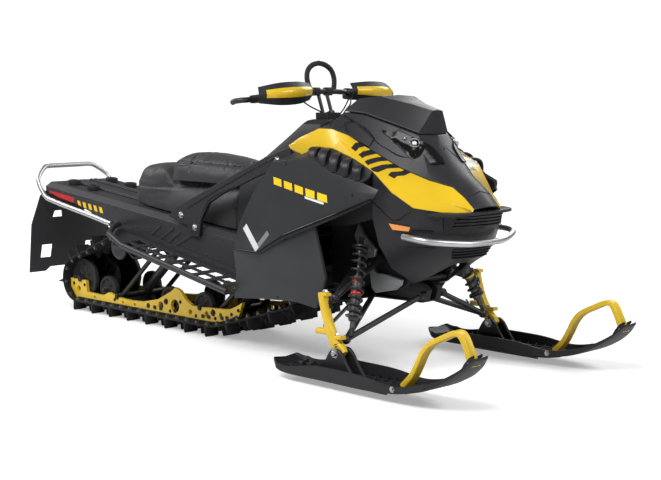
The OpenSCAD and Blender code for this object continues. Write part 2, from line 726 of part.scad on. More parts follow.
module front_frame() {
    color(steel) {
        both() {
            slab([[690, 585], [735, 600], [850, 470], [905, 430], [944, 405], [948, 345], [935, 330], [870, 310],
                [810, 318], [795, 340], [712, 345], [712, 400], [690, 430]], frame_y - frame_t / 2,
                frame_y + frame_t / 2);
            slab([[700, 270 + seat_gap], [960, 270 + seat_gap], [972, 312], [925, 345], [860, 322], [700, 318]], 16, keel_y);
            across(830, 430, 34, frame_y, frame_y + 18);
            across(700, 400, 34, frame_y, frame_y + 18);
        }
        for (p = [[720, 570], [925, 352], [860, 440]])
            across(p[0], p[1], 26, -frame_y, frame_y);
        across(708, 372, 26, -frame_y, frame_y);
        slab([[700, 300], [726, 300], [726, 372], [700, 372]], -keel_y, keel_y);
    }
}

engine_half = frame_y - frame_t / 2 - seat_gap;

module engine_block() {
    color(steel) translate([hump_front + seat_gap, -engine_half, 300])
        cube([694 - hump_front, 2 * engine_half, 330]);
}

// ---------- front suspension, left side ----------

ski_y = stance / 2;
king_low = [885, ski_y - 2, 160];
king_high = [815, ski_y - 17, 305];
king_axis = unit(king_high - king_low);
lower_front = [955, keel_y + seat_gap, 292];
lower_rear = [715, keel_y + seat_gap, 290];
shock_low = [893, ski_y - 69, 200];
shock_high = [828, 250, 520];
upper_front = [830, frame_y + 18 + seat_gap, 430];
upper_rear = [700, frame_y + 18 + seat_gap, 400];
ball_d = 38;

module lower_arms() {
    out = king_low + [0, -ball_d / 2 - 24, 0];
    eye = shock_low - seat_gap * unit(shock_high - shock_low);
    color(black)
        both() {
            rod(out, lower_front + [0, 10, 0], arm_d);
            rod(out, lower_rear + [0, 10, 0], arm_d);
            for (p = [lower_front, lower_rear]) across(p[0], p[2], 30, p[1], p[1] + 26);
            translate(out) sphere(d = 36);
            rod(out, king_low + [0, -ball_d / 2 - seat_gap, 0], 13);
            rod(eye - 30 * unit(shock_high - shock_low), eye, 16);
        }
}

module upper_arms() {
    out = king_high + [0, -ball_d / 2 - 20, 0];
    color(black)
        both() {
            rod(out, upper_front + [0, 11, 0], arm_d);
            rod(out, upper_rear + [0, 11, 0], arm_d);
            across(upper_front[0], upper_front[2], 34, upper_front[1], upper_front[1] + 24);
            across(upper_rear[0], upper_rear[2], 34, upper_rear[1], upper_rear[1] + 24);
            translate(out) sphere(d = 35);
            across(out[0], out[2], 13, out[1], king_high[1] - ball_d / 2 - seat_gap);
        }
}

module front_shocks() {
    color(dark) both() damper(shock_low, shock_high, spring_d);
}

ski_pivot = [905, ski_y, 122];
// Ball at the outer end of a tie rod, against the inner face of the spindle's arm
tie_ball_d = 26;
arm_ball = [794, ski_y - spindle_t / 2 - tie_ball_d / 2 - seat_gap, 188];
// Height of the ball studs that stand on the steering axes
stud_h = 30;

module spindle() {
    y0 = ski_y - spindle_t / 2;
    y1 = ski_y + spindle_t / 2;
    color(yellow) {
        slab([[792, 322], [830, 326], [842, 296], [856, 258], [882, 212], [908, 178], [936, 152], [934, 104], [884, 98],
            [858, 122], [848, 150], [842, 176], [796, 172], [780, 176], [778, 196], [792, 204], [828, 206],
            [810, 262]], y0, y1);
        translate(king_low) sphere(d = ball_d);
        translate(king_high) sphere(d = ball_d);
        rod(king_high, king_high + stud_h * king_axis, 16);
        across(ski_pivot[0], ski_pivot[2], ski_bolt_d, y0 - 17, y1 + 17);
    }
}

module spindle_right() { on_side(-1) spindle(); }
module spindle_left() { on_side(1) spindle(); }

module tie_rod() {
    color(steel) {
        translate(arm_ball) sphere(d = tie_ball_d);
        rod(arm_ball, arm_ball + stud_h * 0.7 * king_axis, 10);
        rod(arm_ball, [738, 150, 300], tie_rod_d);
    }
}

module tie_rod_right() { on_side(-1) tie_rod(); }
module tie_rod_left() { on_side(1) tie_rod(); }

// ---------- skis, left side ----------

ski_foot = [[604, 56], [640, 34], [700, 24], [1120, 24], [1250, 34], [1350, 56], [1440, 92], [1510, 138], [1556, 184]];
ski_plan = [[604, 60], [640, 82], [720, ski_w / 2], [1380, ski_w / 2], [1470, ski_w / 2 - 12], [1530, ski_w / 2 - 34],
    [1570, 30]];
keel_z = runner_d + seat_gap;

module ski() {
    foot = smooth(ski_foot, 3);
    top = [for (i = [len(foot) - 1:-1:0]) foot[i] + [0, ski_t]];
    lip = [for (i = [len(foot) - 1:-1:0]) foot[i] + [0, ski_t + 16 * min(1, (1590 - foot[i][0]) / 300)]];
    color(black) {
        translate([0, ski_y, 0])
            intersection() {
                union() {
                    slab(concat(foot, top), -ski_w / 2, ski_w / 2);
                    both() slab(concat(foot, lip), ski_w / 2 - 8, ski_w / 2);
                }
                linear_extrude(400)
                    polygon(concat(ski_plan, [for (i = [len(ski_plan) - 1:-1:0]) [ski_plan[i][0], -ski_plan[i][1]]]));
            }
        slab([[700, 26], [730, keel_z], [1140, keel_z], [1240, 30], [1240, 36], [700, 36]],
            ski_y - keel_w / 2, ski_y + keel_w / 2);
        // saddle cheeks that hold the ski bolt
        for (s = [-1, 1])
            difference() {
                slab([[812, 34], [1040, 34], [1010, 66], [925, 136], [885, 136], [835, 66]],
                    ski_y + s * (spindle_t / 2 + 12) - 7, ski_y + s * (spindle_t / 2 + 12) + 7);
                across(ski_pivot[0], ski_pivot[2], ski_bolt_d + 0.12, ski_y + s * (spindle_t / 2 + 12) - 9,
                    ski_y + s * (spindle_t / 2 + 12) + 9);
            }
    }
}

module ski_right() { on_side(-1) ski(); }
module ski_left() { on_side(1) ski(); }

module ski_loop() {
    path = smooth([[1224, 34], [1282, 112], [1340, 196], [1392, 246], [1440, 262], [1494, 246], [1526, 206],
        [1530, 150]], 3);
    blade = smooth(ski_foot, 3);
    color(yellow)
        difference() {
            slab(band(path, 24), ski_y - loop_w / 2, ski_y + loop_w / 2);
            slab(concat([for (p = blade) p + [0, ski_t + seat_gap]], [[1556, 0], [604, 0]]),
                ski_y - loop_w, ski_y + loop_w);
        }
}

module ski_loop_right() { on_side(-1) ski_loop(); }
module ski_loop_left() { on_side(1) ski_loop(); }

module ski_runner() {
    color(steel)
        translate([0, ski_y, 0])
            rod([750, 0, runner_d / 2], [1130, 0, runner_d / 2], runner_d);
}

module ski_runner_right() { on_side(-1) ski_runner(); }
module ski_runner_left() { on_side(1) ski_runner(); }

// ---------- steering ----------

post_foot = [398, 0, console_top];
post_dir = [-sin(post_lean), 0, cos(post_lean)];
post_len = 118;
bar_centre = post_foot + post_dir * post_len;

module steering_bearing() {
    color(steel)
        difference() {
            translate([post_foot[0] - 42, -34, console_top + seat_gap]) cube([72, 68, 26]);
            translate(post_foot - post_dir * 20)
                rotate([0, -post_lean, 0])
                    cylinder(d = post_d + 2 * post_fit, h = 80);
        }
}

bar_half = [[bar_centre[0], 0, bar_centre[2]], [bar_centre[0] + 6, 110, 1058], [bar_centre[0] - 8, 190, 1046],
    [bar_centre[0] - 22, 372, 1032], [bar_centre[0] - 34, 402, 1030], [bar_centre[0] - 62, 412, 1026],
    [bar_centre[0] - 84, 402, 1022]];
strap_half = [[bar_centre[0] + 2, 66, 1072], [bar_centre[0] - 6, 76, 1110], [bar_centre[0] - 12, 66, 1146],
    [bar_centre[0] - 16, 36, 1168], [bar_centre[0] - 18, 0, 1176]];

module handlebar() {
    color(black) {
        translate(post_foot + post_dir * 8)
            rotate([0, -post_lean, 0])
                cylinder(d = post_d, h = post_len - 8);
        pipe(concat([for (i = [len(bar_half) - 1:-1:1]) bar_half[i]],
            [bar_half[0]], [for (i = [1:len(bar_half) - 1]) [bar_half[i][0], -bar_half[i][1], bar_half[i][2]]]), bar_d);
        pipe(concat(strap_half, flip_y([for (i = [0:3]) strap_half[i]])), 20);
    }
}

module grips() {
    a = bar_half[2];
    b = bar_half[3];
    color(rubber)
        both()
            difference() {
                rod(a + (b - a) * 0.30, a + (b - a) * 0.94, grip_d);
                rod(a, b, bar_d + 2 * seat_gap);
            }
}

guard_rows = [
    [[402, 118, 1092], [424, 200, 1098], [418, 290, 1094], [382, 366, 1078]],
    [[424, 112, 1064], [452, 200, 1062], [446, 290, 1058], [398, 376, 1050]],
    [[408, 122, 1030], [430, 200, 1016], [424, 290, 1012], [386, 366, 1020]]
];

module hand_guards() {
    color(black) {
        both() {
            wall(guard_rows, shift(guard_rows, [-6, 0, 0]));
            rod(bar_half[1] * 0.775 + bar_half[2] * 0.225 + [bar_d / 2 + 2 * seat_gap, 0, 0], [421, 128, 1056], 14);
        }
    }
}

module guard_inserts() {
    g = trimmed([guard_rows[0] * 0.35 + guard_rows[1] * 0.65, guard_rows[1],
        guard_rows[2] * 0.6 + guard_rows[1] * 0.4], 3);
    color(yellow) both() wall(shift(g, [7, 0, 0]), shift(g, [1, 0, 0]));
}

module bar_controls() {
    color(black)
        both() {
            difference() {
                translate([bar_centre[0] - 24, 146, 1028]) cube([50, 44, 48]);
                pipe([bar_half[1], bar_half[2], bar_half[3]], bar_d + 2 * seat_gap);
            }
            rod([bar_centre[0] + 18, 170, 1046], [bar_centre[0] + 30, 300, 1036], 10);
        }
}

// ---------- the machine ----------

tunnel();
running_board_right();
running_board_left();
grab_bar();
snow_flap();
tail_light();
cargo_anchors();
seat_base();
seat_cushion();
side_struts();
console();
steering_bearing();
knee_panels();
side_panel_right();
side_panel_left();
louvre_panels();
hood();
hood_strips();
windshield();
headlamps();
nose();
nose_grille();
side_reflectors();
front_bumper();
belly_pan();
front_frame();
engine_block();
lower_arms();
upper_arms();
front_shocks();
track();
slide_rails();
rear_axle();
drive_axle();
idler_wheels();
track_arms();
track_shocks();
handlebar();
grips();
hand_guards();
guard_inserts();
bar_controls();
spindle_right();
spindle_left();
tie_rod_right();
tie_rod_left();
ski_right();
ski_left();
ski_loop_right();
ski_loop_left();
ski_runner_right();
ski_runner_left();
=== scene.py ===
"""Looks of a mountain snowmobile: its mouldings, seat, track, skis and finishes, built round the fixed frame.

Metres, +X forward, +Y left, +Z up, with the ground at Z = 0. A new piece is one or more grids of points,
each a function of two parameters, and every grid closes on itself or ends in a pole.
"""

import json
import math

import bmesh
import bpy
import numpy as np
from mathutils import Matrix, Vector
from mathutils.bvhtree import BVHTree


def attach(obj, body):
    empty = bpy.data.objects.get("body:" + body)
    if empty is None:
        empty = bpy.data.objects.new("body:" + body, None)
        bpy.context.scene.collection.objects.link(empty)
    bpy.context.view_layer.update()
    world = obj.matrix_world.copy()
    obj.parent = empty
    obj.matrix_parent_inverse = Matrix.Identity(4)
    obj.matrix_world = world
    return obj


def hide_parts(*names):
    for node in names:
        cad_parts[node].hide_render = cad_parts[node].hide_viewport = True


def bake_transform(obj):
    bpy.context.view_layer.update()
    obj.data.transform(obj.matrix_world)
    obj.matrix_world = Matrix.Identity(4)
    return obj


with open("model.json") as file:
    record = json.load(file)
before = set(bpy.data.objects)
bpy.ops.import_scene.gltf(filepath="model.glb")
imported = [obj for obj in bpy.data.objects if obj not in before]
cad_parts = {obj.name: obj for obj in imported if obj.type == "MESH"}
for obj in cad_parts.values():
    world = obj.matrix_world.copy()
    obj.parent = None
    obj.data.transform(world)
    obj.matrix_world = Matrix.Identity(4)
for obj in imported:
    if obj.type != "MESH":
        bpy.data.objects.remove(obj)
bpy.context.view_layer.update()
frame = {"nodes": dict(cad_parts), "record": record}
nodes = frame["nodes"]
record = frame["record"]
BODY_OF = {n: body for body, members in record["behaviour"]["bodies"].items() for n in members}
COLOR_OF = {m["slot"]: m["base_color"] for m in record["materials"]}
SIDES = {"right": -1, "left": 1}


# ---------- curves and surfaces ----------


def unit(v):
    """Each vector divided by its length."""
    v = np.asarray(v, float)
    return v / np.maximum(np.linalg.norm(v, axis=-1, keepdims=True), 1e-12)


def curve(points, count):
    """Points evenly spaced along the Catmull-Rom curve through the given ones."""
    p = np.asarray(points, float)
    p = np.vstack([2 * p[0] - p[1], p, 2 * p[-1] - p[-2]])
    t = np.linspace(0, len(p) - 3, 24 * len(p))
    i = np.minimum(t.astype(int), len(p) - 4)
    f = (t - i)[:, None]
    a, b, c, d = p[i], p[i + 1], p[i + 2], p[i + 3]
    fine = 0.5 * (2 * b + (c - a) * f + (2 * a - 5 * b + 4 * c - d) * f**2 + (3 * (b - c) + d - a) * f**3)
    return spaced(fine, count)


def spaced(points, count, closed=False):
    """Points evenly spaced by distance along a polyline."""
    p = np.asarray(points, float)
    if closed:
        p = np.vstack([p, p[:1]])
    run = np.r_[0, np.cumsum(np.linalg.norm(np.diff(p, axis=0), axis=1))]
    at = np.linspace(0, run[-1], count, endpoint=not closed)
    return np.stack([np.interp(at, run, p[:, k]) for k in range(p.shape[1])], 1)


def superellipse(width, height, power=2.0, count=20):
    """A closed outline |x/a|^n + |y/b|^n = 1: an ellipse at power 2, squarer above it."""
    a = np.linspace(0, 2 * np.pi, count, endpoint=False)
    c, s = np.cos(a), np.sin(a)
    return np.stack([width / 2 * np.sign(c) * np.abs(c) ** (2 / power),
                     height / 2 * np.sign(s) * np.abs(s) ** (2 / power)], 1)


def sweep(path, outline, up=(0, 0, 1), scale=None):
    """A closed outline carried along a path: point = path + side * x + top * y, square to the path.

    Its ends shrink to poles. scale is one factor for each point of the path."""
    path = np.asarray(path, float)
    along = unit(np.gradient(path, axis=0))
    side = unit(np.cross(along, np.asarray(up, float)))
    top = np.cross(side, along)
    size = np.ones(len(path)) if scale is None else np.asarray(scale, float)
    o = np.asarray(outline, float)
    grid = (path[:, None]
            + side[:, None] * (o[None, :, 0] * size[:, None])[..., None]
            + top[:, None] * (o[None, :, 1] * size[:, None])[..., None])
    ends = [np.repeat(path[[k]][None], len(o), 1) for k in (0, -1)]
    return np.concatenate([ends[0], grid, ends[1]]), False, True


def tube(path, diameter, sides=16, up=(0, 0, 1)):
    """A round tube along a path."""
    return sweep(path, superellipse(diameter, diameter, 2, sides), up)


def turned(profile, origin, axis, around=32):
    """A profile of (radius, distance along the axis) points spun about an axis from an origin."""
    axis = unit(axis)
    first = unit(np.cross(axis, (0, 0, 1) if abs(axis[2]) < 0.95 else (1, 0, 0)))
    second = np.cross(axis, first)
    r, h = np.asarray(profile, float).T
    a = np.linspace(0, 2 * np.pi, around, endpoint=False)[:, None, None]
    spoke = np.cos(a) * first + np.sin(a) * second
    grid = np.asarray(origin, float) + axis * h[None, :, None] + spoke * r[None, :, None]
    return grid, True, False


def plate(outline, low, high, bevel=0.002):
    """A plate on a convex outline in the XZ plane from y = low to y = high, with its rims bevelled."""
    o = np.asarray(outline, float)
    middle = o.mean(0)
    inner = middle + (o - middle) * (1 - bevel / np.linalg.norm(o - middle, axis=1).mean())
    hub = np.repeat(middle[None], len(o), 0)
    rims = ((hub, low), (inner, low), (o, low + bevel), (o, high - bevel), (inner, high), (hub, high))
    rows = [np.stack([rim[:, 0], np.full(len(o), y), rim[:, 1]], 1) for rim, y in rims]
    return np.stack(rows), False, True


def wall(grid, thickness):
    """A closed wall: a grid of points and its copy moved back along the surface's normals."""
    g = np.asarray(grid, float)
    du, dv = np.gradient(g, axis=0), np.gradient(g, axis=1)
    back = g - unit(np.cross(du, dv)) * thickness
    loop = np.concatenate([g, back[:, ::-1]], 1)
    middle = [(g[[k]] + back[[k]]) / 2 for k in (0, -1)]
    lids = [np.concatenate([m, m[:, ::-1]], 1) for m in middle]
    return np.concatenate([lids[0], loop, lids[1]]), False, True


def flip(shape):
    """A shape mirrored to the other side of the machine."""
    grid, *wraps = shape
    return (grid * [1, -1, 1], *wraps)


def both(shapes):
    """Shapes of the left side and their mirror images."""
    return [s for shape in shapes for s in (shape, flip(shape))]


def refined_grid(grid, u, v):
    """A grid of control points resampled to u by v points along Catmull-Rom curves both ways."""
    g = np.stack([curve(row, v) for row in np.asarray(grid, float)])
    return np.stack([curve(g[:, j], u) for j in range(v)], 1)


# ---------- making pieces ----------


def quads(rows, cols, wrap_rows, wrap_cols):
    """The quads of a grid as an array of four vertex numbers a face."""
    i = np.arange(rows if wrap_rows else rows - 1)[:, None]
    j = np.arange(cols if wrap_cols else cols - 1)[None, :]
    down, over = (i + 1) % rows, (j + 1) % cols
    return np.stack([i * cols + j, i * cols + over, down * cols + over, down * cols + j], -1).reshape(-1, 4)


def piece(name, body, finish, shapes, sharp=35, bevel=0.0, replaces=()):
    """One object from closed grids: welded at seams and poles, faces outwards, riding on a body."""
    points, faces, start = [], [], 0
    for grid, wrap_rows, wrap_cols in shapes:
        rows, cols = grid.shape[:2]
        points.append(grid.reshape(-1, 3))
        faces.append(quads(rows, cols, wrap_rows, wrap_cols) + start)
        start += rows * cols
    mesh = bpy.data.meshes.new(name)
    mesh.from_pydata(np.concatenate(points).tolist(), [], np.concatenate(faces).tolist())
    work = bmesh.new()
    work.from_mesh(mesh)
    bmesh.ops.remove_doubles(work, verts=work.verts, dist=1e-6)
    bmesh.ops.dissolve_degenerate(work, edges=work.edges, dist=1e-7)
    bmesh.ops.recalc_face_normals(work, faces=work.faces)
    work.to_mesh(mesh)
    work.free()
    return dressed(name, mesh, body, finish, sharp, bevel, replaces)


def dressed(name, mesh, body, finish, sharp=35, bevel=0.0, replaces=()):
    """An object round a mesh, with its finish, its creases and a rounding of its edges."""
    mesh.materials.clear()
    mesh.materials.append(finish_of(finish))
    mesh.shade_smooth()
    mesh.set_sharp_from_angle(angle=math.radians(sharp))
    made = bpy.data.objects.new(name, mesh)
    bpy.context.scene.collection.objects.link(made)
    if bevel:
        rounded = made.modifiers.new("rounded_edges", "BEVEL")
        rounded.width = bevel
        rounded.segments = 2
        rounded.limit_method = "ANGLE"
        rounded.angle_limit = math.radians(sharp)
        rounded.harden_normals = True
    if body:
        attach(made, body)
    if replaces:
        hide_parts(*replaces)
    return made


def moulding(node, finish, bevel=0.002, sharp=28):
    """A copy of a CAD node with its triangles merged into faces and its edges rounded."""
    mesh = nodes[node].data.copy()
    for layer in ("custom_normal", "sharp_edge", "sharp_face"):
        if layer in mesh.attributes:
            mesh.attributes.remove(mesh.attributes[layer])
    work = bmesh.new()
    work.from_mesh(mesh)
    bmesh.ops.remove_doubles(work, verts=work.verts, dist=1e-5)
    bmesh.ops.dissolve_limit(work, angle_limit=math.radians(0.8), verts=work.verts, edges=work.edges)
    work.to_mesh(mesh)
    work.free()
    return dressed(node + "_moulding", mesh, BODY_OF[node], finish, sharp, bevel, [node])


def bolts(places, axis, radius=0.006, height=0.005):
    """Hexagon bolt heads on washers, one at each place, pointing along an axis."""
    head = [(0, 0), (radius * 1.5, 0), (radius * 1.5, 0.0012), (radius, 0.0012), (radius, height * 0.8),
            (radius * 0.8, height), (0, height)]
    return [turned(head, p, axis, around=6) for p in places]


# ---------- shared shader groups ----------


def add(tree, kind, inputs=None, **settings):
    """A shader node with its settings, and with values or links on its inputs."""
    made = tree.nodes.new(kind)
    for key, value in settings.items():
        setattr(made, key, value)
    for key, value in (inputs or {}).items():
        if isinstance(value, bpy.types.NodeSocket):
            tree.links.new(value, made.inputs[key])
        else:
            made.inputs[key].default_value = value
    return made


def group(name, inputs, outputs):
    """An empty shader group with named sockets: the tree, its input node's outputs and its end node."""
    tree = bpy.data.node_groups.new(name, "ShaderNodeTree")
    for label, kind, value in inputs:
        socket = tree.interface.new_socket(label, in_out="INPUT", socket_type="NodeSocket" + kind)
        socket.default_value = value
    for label, kind in outputs:
        tree.interface.new_socket(label, in_out="OUTPUT", socket_type="NodeSocket" + kind)
    return tree, tree.nodes.new("NodeGroupInput").outputs, tree.nodes.new("NodeGroupOutput")


def maths(tree, operation, a, b=0.0, c=0.0, clamp=False):
    """A Math node's result."""
    return add(tree, "ShaderNodeMath", {0: a, 1: b, 2: c}, operation=operation, use_clamp=clamp).outputs[0]


def make_grain():
    """Moulded grain: fine pebbles for bump, and slow patches that vary roughness and shade."""
    tree, given, end = group(
        "moulded_grain",
        [("Scale", "Float", 900.0), ("Roughness", "Float", 0.5), ("Spread", "Float", 0.1),
         ("Patches", "Float", 5.0)],
        [("Height", "Float"), ("Roughness", "Float"), ("Shade", "Float")])
    place = add(tree, "ShaderNodeTexCoord").outputs["Object"]
    pebble = add(tree, "ShaderNodeTexVoronoi", {"Vector": place, "Scale": given["Scale"]}).outputs["Distance"]
    fine = add(tree, "ShaderNodeTexNoise",
               {"Vector": place, "Scale": given["Scale"], "Detail": 3.0}).outputs[0]
    patch = add(tree, "ShaderNodeTexNoise",
                {"Vector": place, "Scale": given["Patches"], "Detail": 4.0}).outputs[0]
    height = maths(tree, "MULTIPLY_ADD", pebble, 0.6, maths(tree, "MULTIPLY", fine, 0.4))
    swing = maths(tree, "SUBTRACT", patch, 0.5)
    rough = maths(tree, "MULTIPLY_ADD", swing, given["Spread"], given["Roughness"], clamp=True)
    shade = maths(tree, "MULTIPLY_ADD", swing, 0.5, maths(tree, "MULTIPLY_ADD", fine, 0.16, 0.92))
    for label, value in (("Height", height), ("Roughness", rough), ("Shade", shade)):
        tree.links.new(value, end.inputs[label])
    return tree


def make_brush():
    """Brushed or drawn metal: noise stretched along one axis, for bump and roughness."""
    tree, given, end = group(
        "drawn_metal",
        [("Stretch", "Vector", (4.0, 400.0, 400.0)), ("Roughness", "Float", 0.25), ("Spread", "Float", 0.2)],
        [("Height", "Float"), ("Roughness", "Float")])
    place = add(tree, "ShaderNodeTexCoord").outputs["Object"]
    drawn = add(tree, "ShaderNodeVectorMath", {0: place, 1: given["Stretch"]},
                operation="MULTIPLY").outputs[0]
    streak = add(tree, "ShaderNodeTexNoise", {"Vector": drawn, "Scale": 1.0, "Detail": 4.0}).outputs[0]
    swing = maths(tree, "SUBTRACT", streak, 0.5)
    rough = maths(tree, "MULTIPLY_ADD", swing, given["Spread"], given["Roughness"], clamp=True)
    tree.links.new(streak, end.inputs["Height"])
    tree.links.new(rough, end.inputs["Roughness"])
    return tree


def make_bar():
    """A slanted bar printed on a side: 1 inside it. It lies in XZ, turned by an angle about its centre."""
    tree, given, end = group(
        "printed_bar",
        [("Centre", "Vector", (0, 0, 0)), ("Angle", "Float", 0.0), ("Half length", "Float", 0.1),
         ("Half width", "Float", 0.01), ("Slant", "Float", 0.0)],
        [("Mask", "Float")])
    place = add(tree, "ShaderNodeTexCoord").outputs["Object"]
    near = add(tree, "ShaderNodeVectorMath", {0: place, 1: given["Centre"]}, operation="SUBTRACT").outputs[0]
    turn = add(tree, "ShaderNodeVectorRotate", {"Vector": near, "Angle": given["Angle"]},
               rotation_type="Y_AXIS", invert=True)
    part = add(tree, "ShaderNodeSeparateXYZ", {0: turn.outputs[0]})
    along = maths(tree, "MULTIPLY_ADD", part.outputs["Z"], given["Slant"], part.outputs["X"])
    inside = [maths(tree, "LESS_THAN", maths(tree, "ABSOLUTE", value), given[limit])
              for value, limit in ((along, "Half length"), (part.outputs["Z"], "Half width"))]
    tree.links.new(maths(tree, "MULTIPLY", *inside), end.inputs["Mask"])
    return tree


GRAIN, BRUSH, BAR = make_grain(), make_brush(), make_bar()


# ---------- finishes ----------


def shader(slot):
    """A new material for a slot with its Principled shader, in the slot's colour."""
    made = bpy.data.materials.new(slot)
    made.use_nodes = True
    bsdf = made.node_tree.nodes["Principled BSDF"]
    bsdf.inputs["Base Color"].default_value = (*COLOR_OF[slot], 1)
    return made, made.node_tree, bsdf


def use(tree, shared, **values):
    """A shared group placed in a material. An underscore in a name stands for a space."""
    made = add(tree, "ShaderNodeGroup", node_tree=shared)
    for key, value in values.items():
        made.inputs[key.replace("_", " ")].default_value = value
    return made


def tinted(tree, color, shade):
    """A colour, or a link, multiplied by a shade value."""
    mixed = add(tree, "ShaderNodeMix", {0: 1.0, 7: shade}, data_type="RGBA", blend_type="MULTIPLY")
    if isinstance(color, bpy.types.NodeSocket):
        tree.links.new(color, mixed.inputs[6])
    else:
        mixed.inputs[6].default_value = (*color, 1)
    return mixed.outputs[2]


def painted(tree, base, bars):
    """A base colour with printed bars over it: (colour, centre, angle, half length, half width, slant)."""
    color = add(tree, "ShaderNodeRGB").outputs[0]
    color.default_value = (*base, 1)
    for ink, centre, angle, half_length, half_width, slant in bars:
        mask = use(tree, BAR, Centre=centre, Angle=math.radians(angle), Half_length=half_length,
                   Half_width=half_width, Slant=slant).outputs["Mask"]
        color = add(tree, "ShaderNodeMix", {0: mask, 6: color, 7: (*ink, 1)}, data_type="RGBA").outputs[2]
    return color


def moulded(slot, scale, rough, spread, depth, coat=0.0, sheen=0.0, metal=0.0, bars=(), patches=5.0,
            gloss=0.4, tone=1.0):
    """Plastic, rubber, vinyl or paint: a colour with slow patches and a fine moulded grain."""
    made, tree, bsdf = shader(slot)
    grain = use(tree, GRAIN, Scale=scale, Roughness=rough, Spread=spread, Patches=patches)
    color = tuple(np.array(COLOR_OF[slot]) * tone)
    color = painted(tree, color, bars) if bars else color
    tree.links.new(tinted(tree, color, grain.outputs["Shade"]), bsdf.inputs["Base Color"])
    tree.links.new(grain.outputs["Roughness"], bsdf.inputs["Roughness"])
    bump = add(tree, "ShaderNodeBump",
               {"Height": grain.outputs["Height"], "Strength": depth, "Distance": 0.0006})
    tree.links.new(bump.outputs[0], bsdf.inputs["Normal"])
    bsdf.inputs["Metallic"].default_value = metal
    bsdf.inputs["Specular IOR Level"].default_value = gloss
    bsdf.inputs["Coat Weight"].default_value = coat
    bsdf.inputs["Coat Roughness"].default_value = 0.12
    bsdf.inputs["Sheen Weight"].default_value = sheen
    return made


def drawn(slot, stretch, rough, spread, depth=0.05, tone=1.0):
    """Bare metal with the streaks of its drawing or brushing."""
    made, tree, bsdf = shader(slot)
    brush = use(tree, BRUSH, Stretch=stretch, Roughness=rough, Spread=spread)
    tree.links.new(brush.outputs["Roughness"], bsdf.inputs["Roughness"])
    bump = add(tree, "ShaderNodeBump",
               {"Height": brush.outputs["Height"], "Strength": depth, "Distance": 0.0004})
    tree.links.new(bump.outputs[0], bsdf.inputs["Normal"])
    bsdf.inputs["Metallic"].default_value = 1.0
    bsdf.inputs["Base Color"].default_value = (*(np.array(COLOR_OF[slot]) * tone), 1)
    return made


def lens(slot, rough=0.08, cell=260.0):
    """A moulded lens: prism cells under a clear gloss."""
    made, tree, bsdf = shader(slot)
    place = add(tree, "ShaderNodeTexCoord").outputs["Object"]
    prism = add(tree, "ShaderNodeTexVoronoi", {"Vector": place, "Scale": cell}, distance="CHEBYCHEV")
    bump = add(tree, "ShaderNodeBump",
               {"Height": prism.outputs["Distance"], "Strength": 0.35, "Distance": 0.002})
    tree.links.new(bump.outputs[0], bsdf.inputs["Normal"])
    shade = maths(tree, "MULTIPLY_ADD", prism.outputs["Distance"], 0.5, 0.8)
    tree.links.new(tinted(tree, COLOR_OF[slot], shade), bsdf.inputs["Base Color"])
    bsdf.inputs["Roughness"].default_value = rough
    bsdf.inputs["Coat Weight"].default_value = 1.0
    bsdf.inputs["Coat Roughness"].default_value = 0.03
    return made


YELLOW = (0.93, 0.60, 0.02)
WHITE = (0.75, 0.76, 0.78)
GREY = (0.22, 0.225, 0.235)
RED = (0.55, 0.02, 0.02)
INK = (0.02, 0.02, 0.022)

# Printed bars stand in for lettering: colour, centre, angle, half length, half width, slant
PANEL_ANGLE, ROOF_ANGLE = 10.3, 6.3
PANEL_BARS = [(YELLOW, (0.525 + 0.062 * k, 0, 0.722 - 0.0115 * k), PANEL_ANGLE, 0.024, 0.013, 0.45)
              for k in range(5)]
PANEL_BARS += [(WHITE, (0.735, 0, 0.664), PANEL_ANGLE, 0.050, 0.004, 0.45)]
PANEL_BARS += [(WHITE, (0.395, 0, 0.500), 45, 0.060, 0.014, 0.0),
               (GREY, (0.470, 0, 0.500), -45, 0.040, 0.010, 0.0)]
STRIP_BARS = [(INK, (0.812 + 0.040 * k, 0, 0.860 - 0.0240 * k), 30, 0.013, 0.010, 0.5) for k in range(5)]
TUNNEL_BARS = [(RED, (-1.265, 0, 0.556), ROOF_ANGLE, 0.105, 0.012, 0.0)]
TUNNEL_BARS += [(YELLOW, (-1.115 + 0.045 * k, 0, 0.530 - 0.005 * k), ROOF_ANGLE, 0.012, 0.013, 0.5)
                for k in range(5)]

